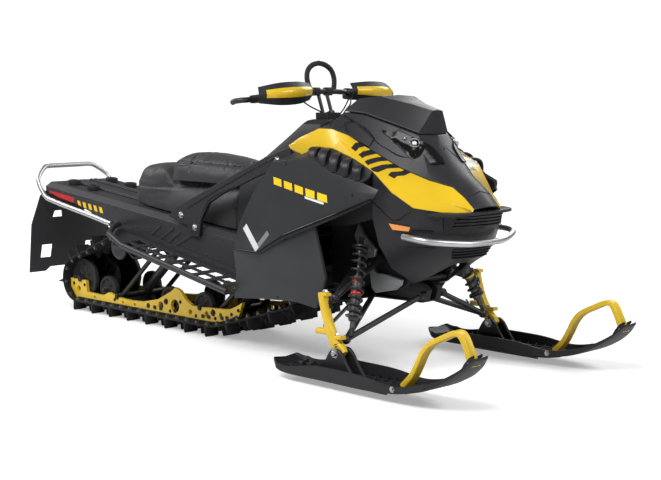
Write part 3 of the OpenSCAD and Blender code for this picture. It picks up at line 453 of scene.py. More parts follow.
# Each slot's maker and its values. For moulded they are the grain's scale, roughness, its spread, and depth
FINISHES = {
    "tunnel_metal": (moulded, (1400, 0.42, 0.14, 0.1), dict(bars=TUNNEL_BARS, tone=0.36, gloss=0.32)),
    "board_metal": (moulded, (1100, 0.45, 0.14, 0.15), dict(tone=0.42, gloss=0.32)),
    "bright_metal": (drawn, ((6.0, 300.0, 300.0), 0.42, 0.12), dict(tone=0.78)),
    "flap_rubber": (moulded, (700, 0.6, 0.15, 0.2), dict(tone=0.6)),
    "red_lens": (lens, (), {}),
    "black_plastic": (moulded, (900, 0.5, 0.14, 0.22), dict(tone=0.5, gloss=0.3)),
    "seat_vinyl": (moulded, (420, 0.52, 0.12, 0.45), dict(sheen=0.08, tone=0.55, gloss=0.35)),
    "panel_grey": (moulded, (1500, 0.38, 0.08, 0.05), dict(coat=0.05, bars=PANEL_BARS, tone=0.5, gloss=0.28)),
    "hood_black": (moulded, (1500, 0.4, 0.08, 0.05), dict(coat=0.05, tone=0.8, gloss=0.28)),
    "windshield_tint": (moulded, (1800, 0.16, 0.04, 0.02), dict(tone=0.4, gloss=0.25)),
    "yellow_panel": (moulded, (1800, 0.3, 0.06, 0.03), dict(coat=0.35, bars=STRIP_BARS, tone=0.8)),
    "lamp_lens": (lens, (0.05, 120.0), {}),
    "amber_lens": (lens, (), {}),
    "cast_metal": (moulded, (500, 0.45, 0.2, 0.35), dict(metal=0.5, tone=0.8)),
    "arm_paint": (moulded, (1300, 0.4, 0.1, 0.1), dict(coat=0.15, tone=0.5)),
    "shock_body": (moulded, (1200, 0.32, 0.12, 0.08), dict(metal=0.4, coat=0.2, tone=0.7)),
    "track_rubber": (moulded, (500, 0.72, 0.2, 0.5), dict(patches=9.0, tone=0.6, gloss=0.25)),
    "rail_yellow": (moulded, (1500, 0.34, 0.12, 0.06), dict(coat=0.3, tone=0.85)),
    "wheel_rubber": (moulded, (800, 0.55, 0.16, 0.25), dict(tone=0.6, gloss=0.3)),
    "grip_rubber": (moulded, (600, 0.66, 0.15, 0.4), dict(tone=0.7, gloss=0.3)),
    "spindle_yellow": (moulded, (900, 0.38, 0.12, 0.12), dict(coat=0.25, tone=0.85)),
    "rod_steel": (drawn, ((60.0, 60.0, 60.0), 0.34, 0.2), {}),
    "ski_plastic": (moulded, (900, 0.46, 0.16, 0.2), dict(tone=0.5, gloss=0.3)),
    "loop_yellow": (moulded, (900, 0.42, 0.12, 0.12), dict(coat=0.1, tone=0.85)),
}
_made = {}


def finish_of(slot):
    """The material of a slot, made once."""
    if slot not in _made:
        make, values, named = FINISHES[slot]
        _made[slot] = make(slot, *values, **named)
    return _made[slot]


# The eye: its place in metres, azimuth, elevation and roll in degrees, and lens on a 36 mm sensor
EYE, EYE_ANGLES, EYE_LENS, SENSOR = (4.311, -3.797, 1.084), (45.826, 6.573, -0.351), 72.92, 36.0


def camera():
    """The eye, on a line from the machine given by azimuth and elevation, with a slight roll."""
    azimuth, elevation, roll = (math.radians(angle) for angle in EYE_ANGLES)
    back = np.array([math.sin(azimuth) * math.cos(elevation), -math.cos(azimuth) * math.cos(elevation),
                     math.sin(elevation)])
    level = unit(np.cross([0, 0, 1], back))
    upright = np.cross(back, level)
    right = math.cos(roll) * level + math.sin(roll) * upright
    top = math.cos(roll) * upright - math.sin(roll) * level
    turn = np.eye(4)
    turn[:3, :3] = np.stack([right, top, back], 1)
    turn[:3, 3] = EYE
    data = bpy.data.cameras.new("eye")
    data.sensor_width, data.lens = SENSOR, EYE_LENS
    data.clip_end = 200
    eye = bpy.data.objects.new("eye", data)
    eye.matrix_world = Matrix(turn.tolist())
    bpy.context.scene.collection.objects.link(eye)
    bpy.context.scene.camera = eye


def softbox(name, place, target, size, power, color=(1, 1, 1)):
    """A large rectangular light that faces a target."""
    data = bpy.data.lights.new(name, "AREA")
    data.shape = "RECTANGLE"
    data.size, data.size_y = size
    data.energy = power
    data.color = color
    light = bpy.data.objects.new(name, data)
    back = unit(np.subtract(place, target))
    side = unit(np.cross([0, 0, 1] if abs(back[2]) < 0.98 else [0, 1, 0], back))
    turn = np.eye(4)
    turn[:3, :3] = np.stack([side, np.cross(back, side), back], 1)
    turn[:3, 3] = place
    light.matrix_world = Matrix(turn.tolist())
    bpy.context.scene.collection.objects.link(light)


def seen(tree, value):
    """A value for what the eye sees directly, and nothing for the light that falls on the machine."""
    return maths(tree, "MULTIPLY", value, add(tree, "ShaderNodeLightPath").outputs["Is Camera Ray"])


def floor():
    """A pale disc just under the ground plane, with a painted glow that only the eye sees: weaker near the
    machine, it brightens the floor to white away from it.
    """
    radius, sides = 30, 64
    a = np.linspace(0, 2 * np.pi, sides, endpoint=False)
    rim = np.stack([radius * np.cos(a), radius * np.sin(a), np.full(sides, -0.0005)], 1)
    mesh = bpy.data.meshes.new("floor")
    mesh.from_pydata(rim.tolist(), [], [list(range(sides))])
    disc = bpy.data.objects.new("floor", mesh)
    paint = bpy.data.materials.new("floor_paint_and_glow")
    paint.use_nodes = True
    tree = paint.node_tree
    bsdf = tree.nodes["Principled BSDF"]
    bsdf.inputs["Base Color"].default_value = (0.86, 0.86, 0.86, 1)
    bsdf.inputs["Specular IOR Level"].default_value = 0.1
    place = add(tree, "ShaderNodeTexCoord").outputs["Object"]
    cloud = add(tree, "ShaderNodeTexNoise", {"Vector": place, "Scale": 2.0})
    tree.links.new(maths(tree, "MULTIPLY_ADD", cloud.outputs[0], 0.1, 0.75), bsdf.inputs["Roughness"])
    away = add(tree, "ShaderNodeVectorMath", {0: place}, operation="LENGTH").outputs["Value"]
    fade = add(tree, "ShaderNodeMapRange", {0: away, 1: 1.8, 2: 5.0, 3: 0.34, 4: 1.0},
               interpolation_type="SMOOTHSTEP")
    # Painted glow: emission seen only by the eye, fading towards the machine so that its shadows stay dark.
    bsdf.inputs["Emission Color"].default_value = (1, 1, 1, 1)
    tree.links.new(seen(tree, fade.outputs[0]), bsdf.inputs["Emission Strength"])
    mesh.materials.append(paint)
    bpy.context.scene.collection.objects.link(disc)


def studio():
    """A white surround that the eye sees brighter than it lights the machine, and four soft lights."""
    world = bpy.data.worlds.new("surround")
    world.use_nodes = True
    tree = world.node_tree
    sky = tree.nodes["Background"]
    sky.inputs[0].default_value = (1, 1, 1, 1)
    tree.links.new(maths(tree, "ADD", seen(tree, 0.95), 0.16), sky.inputs[1])
    bpy.context.scene.world = world
    softbox("key", (1.0, -3.6, 4.4), (0.2, 0, 0.5), (4.0, 2.0), 235)
    softbox("rear", (-3.8, -1.6, 3.4), (-0.4, 0, 0.6), (2.5, 2.0), 95)
    softbox("front", (4.6, 1.2, 3.2), (0.9, 0, 0.6), (2.4, 1.6), 90)
    softbox("far", (-0.5, 4.2, 3.6), (0, 0, 0.6), (4.0, 2.0), 115)
    bpy.context.scene.view_settings.view_transform = "Standard"
    bpy.context.scene.view_settings.exposure = 0.0


camera()
floor()
studio()

# ---------- places on the frame ----------

TRACK_HALF, BELT_T, LUG_H, LUG_ROWS = 0.1905, 0.008, 0.044, 51
REAR_X, REAR_Z, REAR_R = -1.190, 0.1535, 0.101
UPPER_X, UPPER_Z, UPPER_R = -0.800, 0.345, 0.067
# Circles that the belt's inner face wraps, anticlockwise: x, z, radius
WRAPS = np.array([(REAR_X, REAR_Z, REAR_R + 0.0005), (-0.200, 0.452, 0.400), (0.300, 0.275, 0.0895),
                  (UPPER_X, UPPER_Z, UPPER_R + 0.0005)])
# Drive lugs and steel clips stand at these distances from the belt's middle
DRIVE_LUG_Y, CLIP_Y = 0.072, 0.178
RAIL_Y, RAIL_T, WHEEL_W = 0.150, 0.016, 0.026
WHEEL_Y = RAIL_Y - RAIL_T / 2 - 0.0163
ROLLER_X, ROLLER_Z, ROLLER_R = (-0.990, -0.505, -0.262), 0.1185, 0.066
TUNNEL_HALF, BOARD_FALL = 0.203, 0.1715
SKI_Y, SKI_T = 0.437, 0.012
# Ends of the left king-pin, the left damper and the handlebar's post
KING_LOW, KING_HIGH = np.array([0.885, 0.435, 0.160]), np.array([0.815, 0.420, 0.305])
SHOCK_LOW, SHOCK_HIGH = np.array([0.893, 0.368, 0.200]), np.array([0.828, 0.250, 0.520])
POST_FOOT = np.array([0.398, 0, 0.950])
POST_UP = np.array([-math.sin(math.radians(20)), 0, math.cos(math.radians(20))])
BAR_CENTRE = POST_FOOT + POST_UP * 0.118


def tree_of(node):
    """A search tree of a CAD node's faces, and its points."""
    mesh = nodes[node].data
    points = [v.co for v in mesh.vertices]
    return BVHTree.FromPolygons(points, [list(p.vertices) for p in mesh.polygons])


def laid(node, points, direction, lift=0.0):
    """Points thrown along a direction onto a CAD node, then lifted off it."""
    tree = tree_of(node)
    way = Vector(direction).normalized()
    hits = [tree.ray_cast(Vector(p), way) for p in np.asarray(points, float).tolist()]
    return np.array([hit[0] + (hit[1] if hit[1].dot(way) < 0 else -hit[1]) * lift for hit in hits if hit[0]])


def line(a, b, count):
    """Evenly spaced points from a to b."""
    return np.linspace(np.asarray(a, float), np.asarray(b, float), count)


# ---------- track ----------


def belt_line(offset, count):
    """Points evenly spaced round the belt: arcs on four circles grown by the offset, joined by tangents."""
    ahead = np.roll(WRAPS, -1, 0)
    v = ahead[:, :2] - WRAPS[:, :2]
    lean = np.arcsin((WRAPS[:, 2] - ahead[:, 2]) / np.linalg.norm(v, axis=1))
    leave = np.arctan2(v[:, 1], v[:, 0]) - np.pi / 2 + lean
    arrive = np.roll(leave, 1)
    turn = arrive + np.linspace(0, 1, 80)[:, None] * ((leave - arrive) % (2 * np.pi))
    reach = WRAPS[:, 2] + offset
    arcs = np.stack([WRAPS[:, 0] + reach * np.cos(turn), WRAPS[:, 1] + reach * np.sin(turn)], -1)
    return spaced(arcs.transpose(1, 0, 2).reshape(-1, 2), count, closed=True)


def belt_frames(offset, count):
    """Places on the belt with their forward and outward directions, as XZ pairs."""
    p = belt_line(offset, count)
    forward = unit(np.roll(p, -1, 0) - np.roll(p, 1, 0))
    return p, forward, np.stack([forward[:, 1], -forward[:, 0]], 1)


def on_belt(local, place, forward, out):
    """A grid of (along, across, out) points carried to a place on the belt."""
    flat = place + local[..., :1] * forward + local[..., 2:] * out
    return np.stack([flat[..., 0], local[..., 1], flat[..., 1]], -1)


def paddle(y0, y1, height, root=0.020, tip=0.007, bow=0.005):
    """A tapered outline carried across the belt, bowed forwards in its middle. Its ends shrink to poles."""
    share = np.array([(-0.5, 0), (-0.42, 0.35), (-0.2, 0.93), (-0.12, 1), (0.12, 1), (0.2, 0.93),
                      (0.42, 0.35), (0.5, 0)])
    width = root + (tip - root) * share[:, 1] ** 0.7
    y = np.array([y0, y0, y0 + 0.003, (y0 + y1) / 2, y1 - 0.003, y1, y1])
    size = np.array([0, 0.9, 1, 1, 1, 0.9, 0])
    bend = bow * (1 - ((2 * y - y0 - y1) / (y1 - y0)) ** 2)
    along = share[:, 0] * width
    grid = np.zeros((len(y), len(share), 3))
    grid[..., 0] = along[None] * size[:, None] + bend[:, None]
    grid[..., 1] = y[:, None]
    grid[..., 2] = (share[:, 1] * height)[None] * np.where(size > 0, size, 0.5)[:, None]
    return grid


def track():
    """The belt, its paddles in two alternating rows, its drive lugs and the steel clips on its edges."""
    middle, _, out = belt_frames(BELT_T / 2, LUG_ROWS * 6)
    outline = superellipse(2 * TRACK_HALF, BELT_T, 8, 24)
    belt = np.zeros((len(middle), len(outline), 3))
    belt[..., 0] = middle[:, None, 0] + out[:, None, 0] * outline[None, :, 1]
    belt[..., 1] = outline[None, :, 0]
    belt[..., 2] = middle[:, None, 1] + out[:, None, 1] * outline[None, :, 1]
    shapes = [(belt, True, True)]
    rows = [[(-0.188, -0.112), (-0.045, 0.045), (0.112, 0.188)], [(-0.150, -0.058), (0.058, 0.150)]]
    places, ahead, outward = belt_frames(BELT_T - 0.0005, LUG_ROWS)
    for k in range(LUG_ROWS):
        spot = (places[k], ahead[k], outward[k])
        inner = (places[k] - outward[k] * BELT_T, ahead[k], outward[k])
        middles = [(y0 + y1) / 2 for y0, y1 in rows[(k + 1) % 2]]
        shapes += [(on_belt(paddle(*span, LUG_H), *spot), False, True) for span in rows[k % 2]]
        shapes += [(on_belt(paddle(y - 0.02, y + 0.02, LUG_H * 0.45, 0.016, 0.008, 0), *spot), False, True)
                   for y in middles]
        shapes += [(on_belt(paddle(y - 0.011, y + 0.011, -0.024, 0.030, 0.010, 0), *inner), False, True)
                   for y in (-DRIVE_LUG_Y, DRIVE_LUG_Y)]
    piece("track_belt", "root", "track_rubber", shapes, 40, replaces=["track"])
    clips = [(on_belt(paddle(y - 0.006, y + 0.006, -0.017, 0.026, 0.006, 0), *spot), False, True)
             for spot in zip(*belt_frames(0.0, LUG_ROWS)) for y in (-CLIP_Y, CLIP_Y)]
    piece("track_clips", "root", "shock_body", clips, 30)


def wheel(x, z, radius, y, width=WHEEL_W, spokes=6):
    """A wheel as one polar surface, stepped from hub to web to rim. Spokes stand where cos(n a) is high."""
    half = width / 2
    share = np.array([0, 0.14, 0.15, 0.24, 0.27, 0.34, 0.50, 0.68, 0.74, 0.78, 0.80, 0.86, 0.97, 1.0])
    step = np.array([1.05, 1.05, 0.8, 0.8, 0.45, 0.3, 0.3, 0.3, 0.4, 0.75, 1.0, 1.0, 0.9, 0.6]) * half
    web = np.array([0, 0, 0, 0, 0.2, 1, 1, 1, 0.2, 0, 0, 0, 0, 0])
    a = np.linspace(0, 2 * np.pi, spokes * 10, endpoint=False)
    spoke = 1 / (1 + np.exp(-14 * (np.cos(spokes * a) - 0.35)))
    face = step[None] + half * 0.5 * web[None] * spoke[:, None]
    r = np.repeat((share * radius)[None], len(a), 0)
    r2, h2 = np.concatenate([r, r[:, ::-1]], 1), np.concatenate([face, -face[:, ::-1]], 1)
    grid = np.stack([x + r2 * np.cos(a)[:, None], y + h2, z + r2 * np.sin(a)[:, None]], -1)
    return grid, True, False


def wheels():
    """Idler, rear and upper wheels with their hub caps and shafts."""
    reach = 0.166
    rear = [wheel(REAR_X, REAR_Z, REAR_R, y, spokes=8) for y in (-WHEEL_Y, 0, WHEEL_Y)]
    rear.append(tube(line((REAR_X, -reach, REAR_Z), (REAR_X, reach, REAR_Z), 6), 0.024))
    piece("rear_wheels", "root", "wheel_rubber", rear, 30, replaces=["rear_axle"])
    ends = [(x, s) for x in ROLLER_X for s in (-1, 1)]
    idlers = [wheel(x, ROLLER_Z, ROLLER_R, s * WHEEL_Y) for x, s in ends]
    idlers += [tube(line((x, s * 0.108, ROLLER_Z), (x, s * reach, ROLLER_Z), 4), 0.014) for x, s in ends]
    idlers += [wheel(UPPER_X, UPPER_Z, UPPER_R, y) for y in (-0.100, 0.100)]
    idlers.append(tube(line((UPPER_X, -0.1985, UPPER_Z), (UPPER_X, 0.1985, UPPER_Z), 8), 0.024))
    piece("idler_rollers", "root", "wheel_rubber", idlers, 30, replaces=["idler_wheels"])
    axles = [(x, ROLLER_Z) for x in ROLLER_X] + [(REAR_X, REAR_Z)]
    crossbars = [(-1.245, 0.128), (-1.155, 0.128), (-0.905, 0.083), (-0.400, 0.128), (-0.475, 0.078),
                 (-0.290, 0.078), (-0.155, 0.083), (-0.045, 0.113), (0.000, 0.135)]
    arms = [(-0.170, 0.106), (-0.886, 0.100)]
    caps = []
    for s in (-1, 1):
        for places, radius, height in ((axles, 0.010, 0.009), (crossbars, 0.006, 0.005),
                                       (arms, 0.011, 0.008)):
            caps += bolts([(x, s * (RAIL_Y + RAIL_T / 2), z) for x, z in places], (0, s, 0), radius, height)
    piece("rail_bolts", "root", "black_plastic", caps, 30)


def rail_shoes():
    """The black sliding shoe under each rail: a rounded bar, flat and then up the belt's bend."""
    x, z, r = WRAPS[1]
    up = np.radians(np.linspace(0, 29, 24))
    reach = r - 0.0072
    bend = np.stack([x + reach * np.sin(up), np.full(24, RAIL_Y), z - reach * np.cos(up)], 1)
    flat = line((REAR_X - 0.025, RAIL_Y, z - reach), (x - 0.01, RAIL_Y, z - reach), 30)
    path = np.concatenate([flat, bend])
    piece("rail_shoes", "root", "black_plastic", both([sweep(path, superellipse(0.0205, 0.0135, 5, 12))]), 40)


def tunnel_hubs():
    """Bracket discs that carry the upper axle outside the belt, one on each side."""
    profile = [(0, 0), (0.016, 0), (0.016, -0.005), (0.030, -0.006), (0.046, -0.002), (0.054, -0.004),
               (0.058, -0.008), (0.058, -0.014), (0, -0.014)]
    disc = turned(profile, (UPPER_X, 0.2095, UPPER_Z), (0, 1, 0), 40)
    arm = [(-0.835, 0.330), (-0.765, 0.330), (-0.745, 0.420), (-0.760, 0.448), (-0.850, 0.452),
           (-0.860, 0.430)]
    arm = plate(arm, 0.2035, 0.2085, 0.001)
    piece("axle_brackets", "root", "board_metal", both([disc, arm]), 35)


# ---------- skis and front end ----------

# The ski's underside from the side as (x, z), and its half width along it as (x, half width)
SKI_FOOT = np.array([(0.604, 0.056), (0.640, 0.034), (0.700, 0.024), (0.900, 0.024), (1.120, 0.024),
                     (1.250, 0.034), (1.350, 0.056), (1.440, 0.092), (1.510, 0.138), (1.556, 0.184)])
SKI_PLAN = np.array([(0.604, 0.060), (0.640, 0.082), (0.720, 0.088), (1.380, 0.088), (1.470, 0.076),
                     (1.530, 0.054), (1.556, 0.038)])


def ridge(distance, width):
    """1 on a line and 0 away from it, with soft shoulders."""
    return np.exp(-((distance / width) ** 4))


def between(x, low, high, fade):
    """1 from low to high, falling to 0 over the fade inside each end."""
    return np.clip((high - x) / fade, 0, 1) * np.clip((x - low) / fade, 0, 1)


def ski(side):
    """A blade with a tray on top, a keel under it, and two cheeks that hold the bolt.

    The tray has raised rims, chevron ribs in its bed and two ribs lengthwise. Each station is a closed
    loop: the underside from edge to edge, then the upper face back."""
    s = SIDES[side]
    under, over = 7, 61
    foot = curve(SKI_FOOT, 420)
    half = np.interp(foot[:, 0], *SKI_PLAN.T)[:, None]
    v = np.r_[np.linspace(-1, 1, under), np.linspace(1, -1, over)]
    top = np.r_[np.zeros(under, bool), np.ones(over, bool)]
    x, y = np.repeat(foot[:, :1], under + over, 1), half * v[None]
    inset = half - np.abs(y)
    rim_w, pitch = 0.012, 0.042
    rim = 0.018 + 0.028 * ridge(x - 0.97, 0.22)
    rim = rim * np.clip((1.575 - x) / 0.25, 0.15, 1) * np.clip((x - 0.585) / 0.06, 0.3, 1)
    lip = rim * np.clip((rim_w - inset) / 0.005, 0, 1)
    chevron = (x + 0.55 * np.abs(y)) % pitch - pitch / 2
    bed = np.clip((inset - rim_w) / 0.004, 0, 1) * between(x, 0.64, 1.22, 0.02)
    ribs = 0.017 * bed * ridge(chevron, 0.004)
    spine = 0.012 * ridge(np.abs(y) - 0.040, 0.004) * between(x, 0.63, 1.25, 0.03)
    rounding = 0.004 * (1 - np.clip(inset / 0.006, 0, 1))
    height = np.where(top, SKI_T * 0.8 + lip + np.maximum(ribs, spine), rounding)
    grid = np.stack([x, s * SKI_Y + y, foot[:, 1:2] + height], -1)
    ends = [np.repeat(grid[[k]].mean(1, keepdims=True), under + over, 1) for k in (0, -1)]
    blade = (np.concatenate([ends[0], grid, ends[1]]), False, True)
    keel = np.array([(0.700, 0.0265), (0.730, 0.0185), (0.900, 0.0185), (1.140, 0.0185), (1.240, 0.0310)])
    keel = np.stack([keel[:, 0], np.full(len(keel), s * SKI_Y), keel[:, 1]], 1)
    keel = sweep(curve(keel, 40), superellipse(0.040, 0.0155, 6, 16))
    cheek = [(0.822, 0.036), (1.005, 0.036), (0.990, 0.056), (0.962, 0.090), (0.940, 0.124), (0.922, 0.137),
             (0.903, 0.140), (0.884, 0.135), (0.868, 0.116), (0.850, 0.084), (0.834, 0.056)]
    cheek, apart, half_t = spaced(cheek, 39, closed=True), 0.027, 0.007
    cheeks = [plate(cheek, c - half_t, c + half_t, 0.003) for c in (s * SKI_Y - apart, s * SKI_Y + apart)]
    piece(f"ski_blade_{side}", f"ski_{side}", "ski_plastic", [blade, keel, *cheeks], 30,
          replaces=[f"ski_{side}"])
    shiny = []
    for k in (-1, 1):
        for bolt_x, out, z, radius, length in ((1.240, 0.088, 0.052, 0.008, 0.006),
                                               (0.905, 0.034, 0.122, 0.012, 0.010),
                                               (1.528, 0.0225, 0.170, 0.008, 0.006)):
            shiny += bolts([(bolt_x, s * SKI_Y + k * out, z)], (0, k, 0), radius, length)
    piece(f"ski_bolts_{side}", f"ski_{side}", "rod_steel", shiny, 30)


def ski_loop(side):
    """A hand loop: a wide band, grooved on its faces, carried from the deck over a peak to the ski's tip."""
    s = SIDES[side]
    count = 72
    path = np.array([(1.224, 0.048), (1.262, 0.090), (1.288, 0.134), (1.312, 0.178), (1.345, 0.212),
                     (1.400, 0.240), (1.448, 0.262), (1.468, 0.264), (1.486, 0.252), (1.510, 0.208),
                     (1.530, 0.160)])
    path = curve(np.stack([path[:, 0], np.full(len(path), s * SKI_Y), path[:, 1]], 1), count)
    outline = superellipse(0.022, 0.040, 5, 36)
    outline[:, 0] *= 1 - 0.28 * ridge(outline[:, 1], 0.012)
    t = np.linspace(0, 1, count)
    swell = 1 + 0.20 * np.exp(-((t / 0.10) ** 2)) + 0.1 * np.exp(-(((1 - t) / 0.08) ** 2))
    loop = sweep(path, outline, up=(0, 1, 0), scale=swell)
    piece(f"ski_handle_{side}", f"ski_{side}", "loop_yellow", [loop], 40, replaces=[f"ski_loop_{side}"])
    ear = [(1.490, 0.145), (1.548, 0.196), (1.545, 0.204), (1.524, 0.192), (1.505, 0.170)]
    ear, apart, half_t = spaced(ear, 23, closed=True), 0.0215, 0.003
    ears = [plate(ear, c - half_t, c + half_t, 0.001) for c in (s * SKI_Y - apart, s * SKI_Y + apart)]
    piece(f"loop_brackets_{side}", f"ski_{side}", "ski_plastic", ears, 35)


def spindles():
    """A curved leg that widens to its foot, an arm behind, a short one in front and a lug across its top."""
    count, leg_t = 48, 0.030
    at_ski = lambda points: np.stack([points[:, 0], np.full(len(points), SKI_Y), points[:, 1]], 1)
    leg = [(0.811, 0.326), (0.822, 0.280), (0.836, 0.235), (0.854, 0.192), (0.878, 0.152), (0.906, 0.121),
           (0.915, 0.112)]
    spine = at_ski(curve(leg, count))
    skin = sweep(spine, superellipse(1.0, 1.0, 5, 24), up=(1, 0, 0))[0]
    spine = np.concatenate([spine[:1], spine, spine[-1:]])[:, None]
    wide = np.interp(np.linspace(0, 1, count), [0, 0.1, 0.45, 0.75, 0.92, 1],
                     [0.030, 0.030, 0.031, 0.042, 0.050, 0.040])
    wide = np.r_[wide[0], wide, wide[-1]][:, None, None]
    size = np.concatenate([wide, np.full_like(wide, leg_t), wide], 2)
    shapes = [(spine + (skin - spine) * size, False, True)]
    for points, tall in (([(0.858, 0.190), (0.820, 0.189), (0.783, 0.188)], 0.020),
                         ([(0.800, 0.326), (0.820, 0.328), (0.840, 0.326)], 0.012),
                         ([(0.864, 0.172), (0.892, 0.174), (0.916, 0.177)], 0.015)):
        shapes.append(sweep(at_ski(curve(points, count)), superellipse(0.028, tall, 5, 24), up=(0.6, 0, 0.8)))
    for side, s in SIDES.items():
        mine = shapes if s > 0 else [flip(shape) for shape in shapes]
        piece(f"spindle_leg_{side}", f"spindle_{side}", "spindle_yellow", mine, 40,
              replaces=[f"spindle_{side}"])


def coil(low, high, radius, wire, turns):
    """A spring: a wire carried along a helix about the line from low to high, its end turns closed up."""
    low, high = np.asarray(low, float), np.asarray(high, float)
    axis = unit(high - low)
    first = unit(np.cross(axis, (0, 1, 0)))
    second = np.cross(axis, first)
    t = np.linspace(0, 1, int(turns * 20))
    rise = t - 0.35 / turns * np.sin(2 * np.pi * t)
    a = 2 * np.pi * turns * t
    spoke = np.cos(a)[:, None] * first + np.sin(a)[:, None] * second
    path = low + (high - low) * rise[:, None] + radius * spoke
    return sweep(path, superellipse(wire, wire, 2, 10), up=axis)


def damper(low, high, body=0.019, rod=0.007):
    """A damper between two eyes: body, rod, spring seats and end caps, as one turned profile.

    Each pair is a radius and a share of the length."""
    seat_r, eye_r, cap = 0.031, 0.010, body * 0.8
    length = np.linalg.norm(high - low)
    profile = [(0, 0), (eye_r, 0), (eye_r, 0.07), (body * 0.9, 0.08), (body, 0.10), (body, 0.12),
               (seat_r, 0.125), (seat_r, 0.14), (body, 0.145), (body, 0.56), (cap, 0.57), (rod, 0.58),
               (rod, 0.80), (cap, 0.81), (cap, 0.88), (seat_r, 0.885), (seat_r, 0.90), (0.013, 0.91),
               (eye_r, 0.93), (eye_r, 1), (0, 1)]
    return turned([(radius, share * length) for radius, share in profile], low, high - low, 28)


def front_shocks():
    """Dampers, their black springs, and the coloured rings on them."""
    piece("front_dampers", "root", "shock_body", both([damper(SHOCK_LOW, SHOCK_HIGH)]), 35,
          replaces=["front_shocks"])
    way = SHOCK_HIGH - SHOCK_LOW
    spring = coil(SHOCK_LOW + way * 0.14, SHOCK_LOW + way * 0.885, 0.0250, 0.0098, 9)
    piece("front_springs", "root", "arm_paint", both([spring]), 60)
    ring = [(0.0192, 0), (0.0212, 0.001), (0.0212, 0.010), (0.0192, 0.011), (0.0192, 0)]
    rings = [turned(ring, SHOCK_LOW + way * share, way, 28) for share in (0.36, 0.50)]
    piece("shock_rings_right", "root", "red_lens", [flip(r) for r in rings], 35)
    piece("shock_rings_left", "root", "yellow_panel", rings, 35)


def ball_boots():
    """Ribbed rubber boots under the four ball joints, and the nuts above them."""
    ribs = np.linspace(0, 1, 13)
    radius = 0.017 - 0.004 * ribs + 0.0022 * np.cos(ribs * 6 * np.pi)
    profile = np.stack([np.r_[0, radius, 0], np.r_[0, ribs * 0.026, 0.026]], 1)
    axis = unit(KING_HIGH - KING_LOW)
    for side, s in SIDES.items():
        mirror = np.array([1, s, 1])
        boots = [turned(profile, (place - axis * 0.012) * mirror, -axis * mirror, 24)
                 for place in (KING_LOW, KING_HIGH)]
        piece(f"ball_boots_{side}", f"spindle_{side}", "grip_rubber", boots, 50)
        studs = bolts([(KING_HIGH + axis * 0.024) * mirror, (KING_LOW + axis * 0.019) * mirror],
                      axis * mirror, 0.010, 0.012)
        piece(f"ball_nuts_{side}", f"spindle_{side}", "rod_steel", studs, 30)


# ---------- bodywork details ----------


def seam(node, points, direction, width=0.0035, count=40):
    """A dark joint line laid on a panel: a thin bead carried along points thrown onto it."""
    path = laid(node, curve(points, count), direction)
    return sweep(path, superellipse(width, width * 0.9, 2, 8), up=direction)


# Corners of the access door on the left of the hood, above it
DOOR = np.array([(0.745, 0.212, 1.2), (0.836, 0.190, 1.2), (0.834, 0.216, 1.2), (0.768, 0.254, 1.2),
                 (0.728, 0.240, 1.2)])


def hood_details():
    """Joint lines of the hood, its access door and its intake, and of the nose."""
    down, inward = (0, 0, -1), (0, -1, 0)
    on_hood = [[(1.020, 0.006, 1.1), (1.060, 0.060, 1.1), (1.105, 0.072, 1.1)],
               [(0.640, 0.205, 1.2), (0.760, 0.212, 1.2), (0.900, 0.168, 1.2), (1.000, 0.105, 1.2),
                (1.068, 0.060, 1.2)],
               [(0.560, 0.120, 1.2), (0.610, 0.205, 1.2), (0.700, 0.245, 1.2)],
               [(1.190, 0.000, 1.1), (1.190, 0.030, 1.1), (1.186, 0.060, 1.1)]]
    on_nose = [(0.006, [(1.0, 0.40, 0.580), (1.075, 0.40, 0.566), (1.130, 0.40, 0.560)]),
               (0.004, [(1.0, 0.40, 0.505), (1.060, 0.40, 0.500), (1.120, 0.40, 0.497)]),
               (0.003, [(0.930, 0.40, 0.664), (1.005, 0.40, 0.598)]),
               (0.003, [(1.005, 0.40, 0.598), (1.034, 0.40, 0.604), (1.068, 0.40, 0.631)])]
    lines = [seam("hood", points, down) for points in on_hood]
    lines += [seam("nose", points, inward, width) for width, points in on_nose]
    lines += [seam("hood", ends, down) for ends in zip(DOOR, np.roll(DOOR, -1, 0))]
    piece("panel_joints", "root", "windshield_tint", both(lines), 60)


def grilles():
    """Slats across the nose: bars carried along points thrown back onto it, in two banks."""
    banks = [(0.007, (0.012, 0.0045), ((0.612, 0.118), (0.600, 0.124), (0.588, 0.130), (0.576, 0.134))),
             (0.002, (0.010, 0.0040), ((0.487, 0.110), (0.476, 0.108), (0.465, 0.104), (0.454, 0.098)))]
    slats = []
    for lift, size, rows in banks:
        for z, half in rows:
            path = laid("nose", line((1.4, -half, z), (1.4, half, z), 41), (-1, 0, 0), lift)
            slats.append(sweep(path, superellipse(*size, 4, 10)))
    lip = curve([(1.120, -0.205, 0.619), (1.176, -0.172, 0.619), (1.205, -0.110, 0.620), (1.214, 0, 0.620),
                 (1.205, 0.110, 0.620), (1.176, 0.172, 0.619), (1.120, 0.205, 0.619)], 60)
    slats.append(sweep(lip, superellipse(0.040, 0.014, 4, 16)))
    piece("grille_slats", "root", "black_plastic", slats, 45)


# Upper and lower edges of the left lamp's dark recess, from its outer tip forwards
LAMP_EDGES = np.array([
    [(0.846, 0.160, 0.915), (0.885, 0.133, 0.909), (0.934, 0.112, 0.893), (0.976, 0.089, 0.877),
     (1.012, 0.060, 0.854), (1.040, 0.052, 0.822), (1.060, 0.050, 0.798)],
    [(0.848, 0.162, 0.911), (0.887, 0.148, 0.880), (0.924, 0.140, 0.848), (0.955, 0.134, 0.822),
     (0.998, 0.121, 0.799), (1.040, 0.090, 0.790), (1.062, 0.054, 0.794)]])


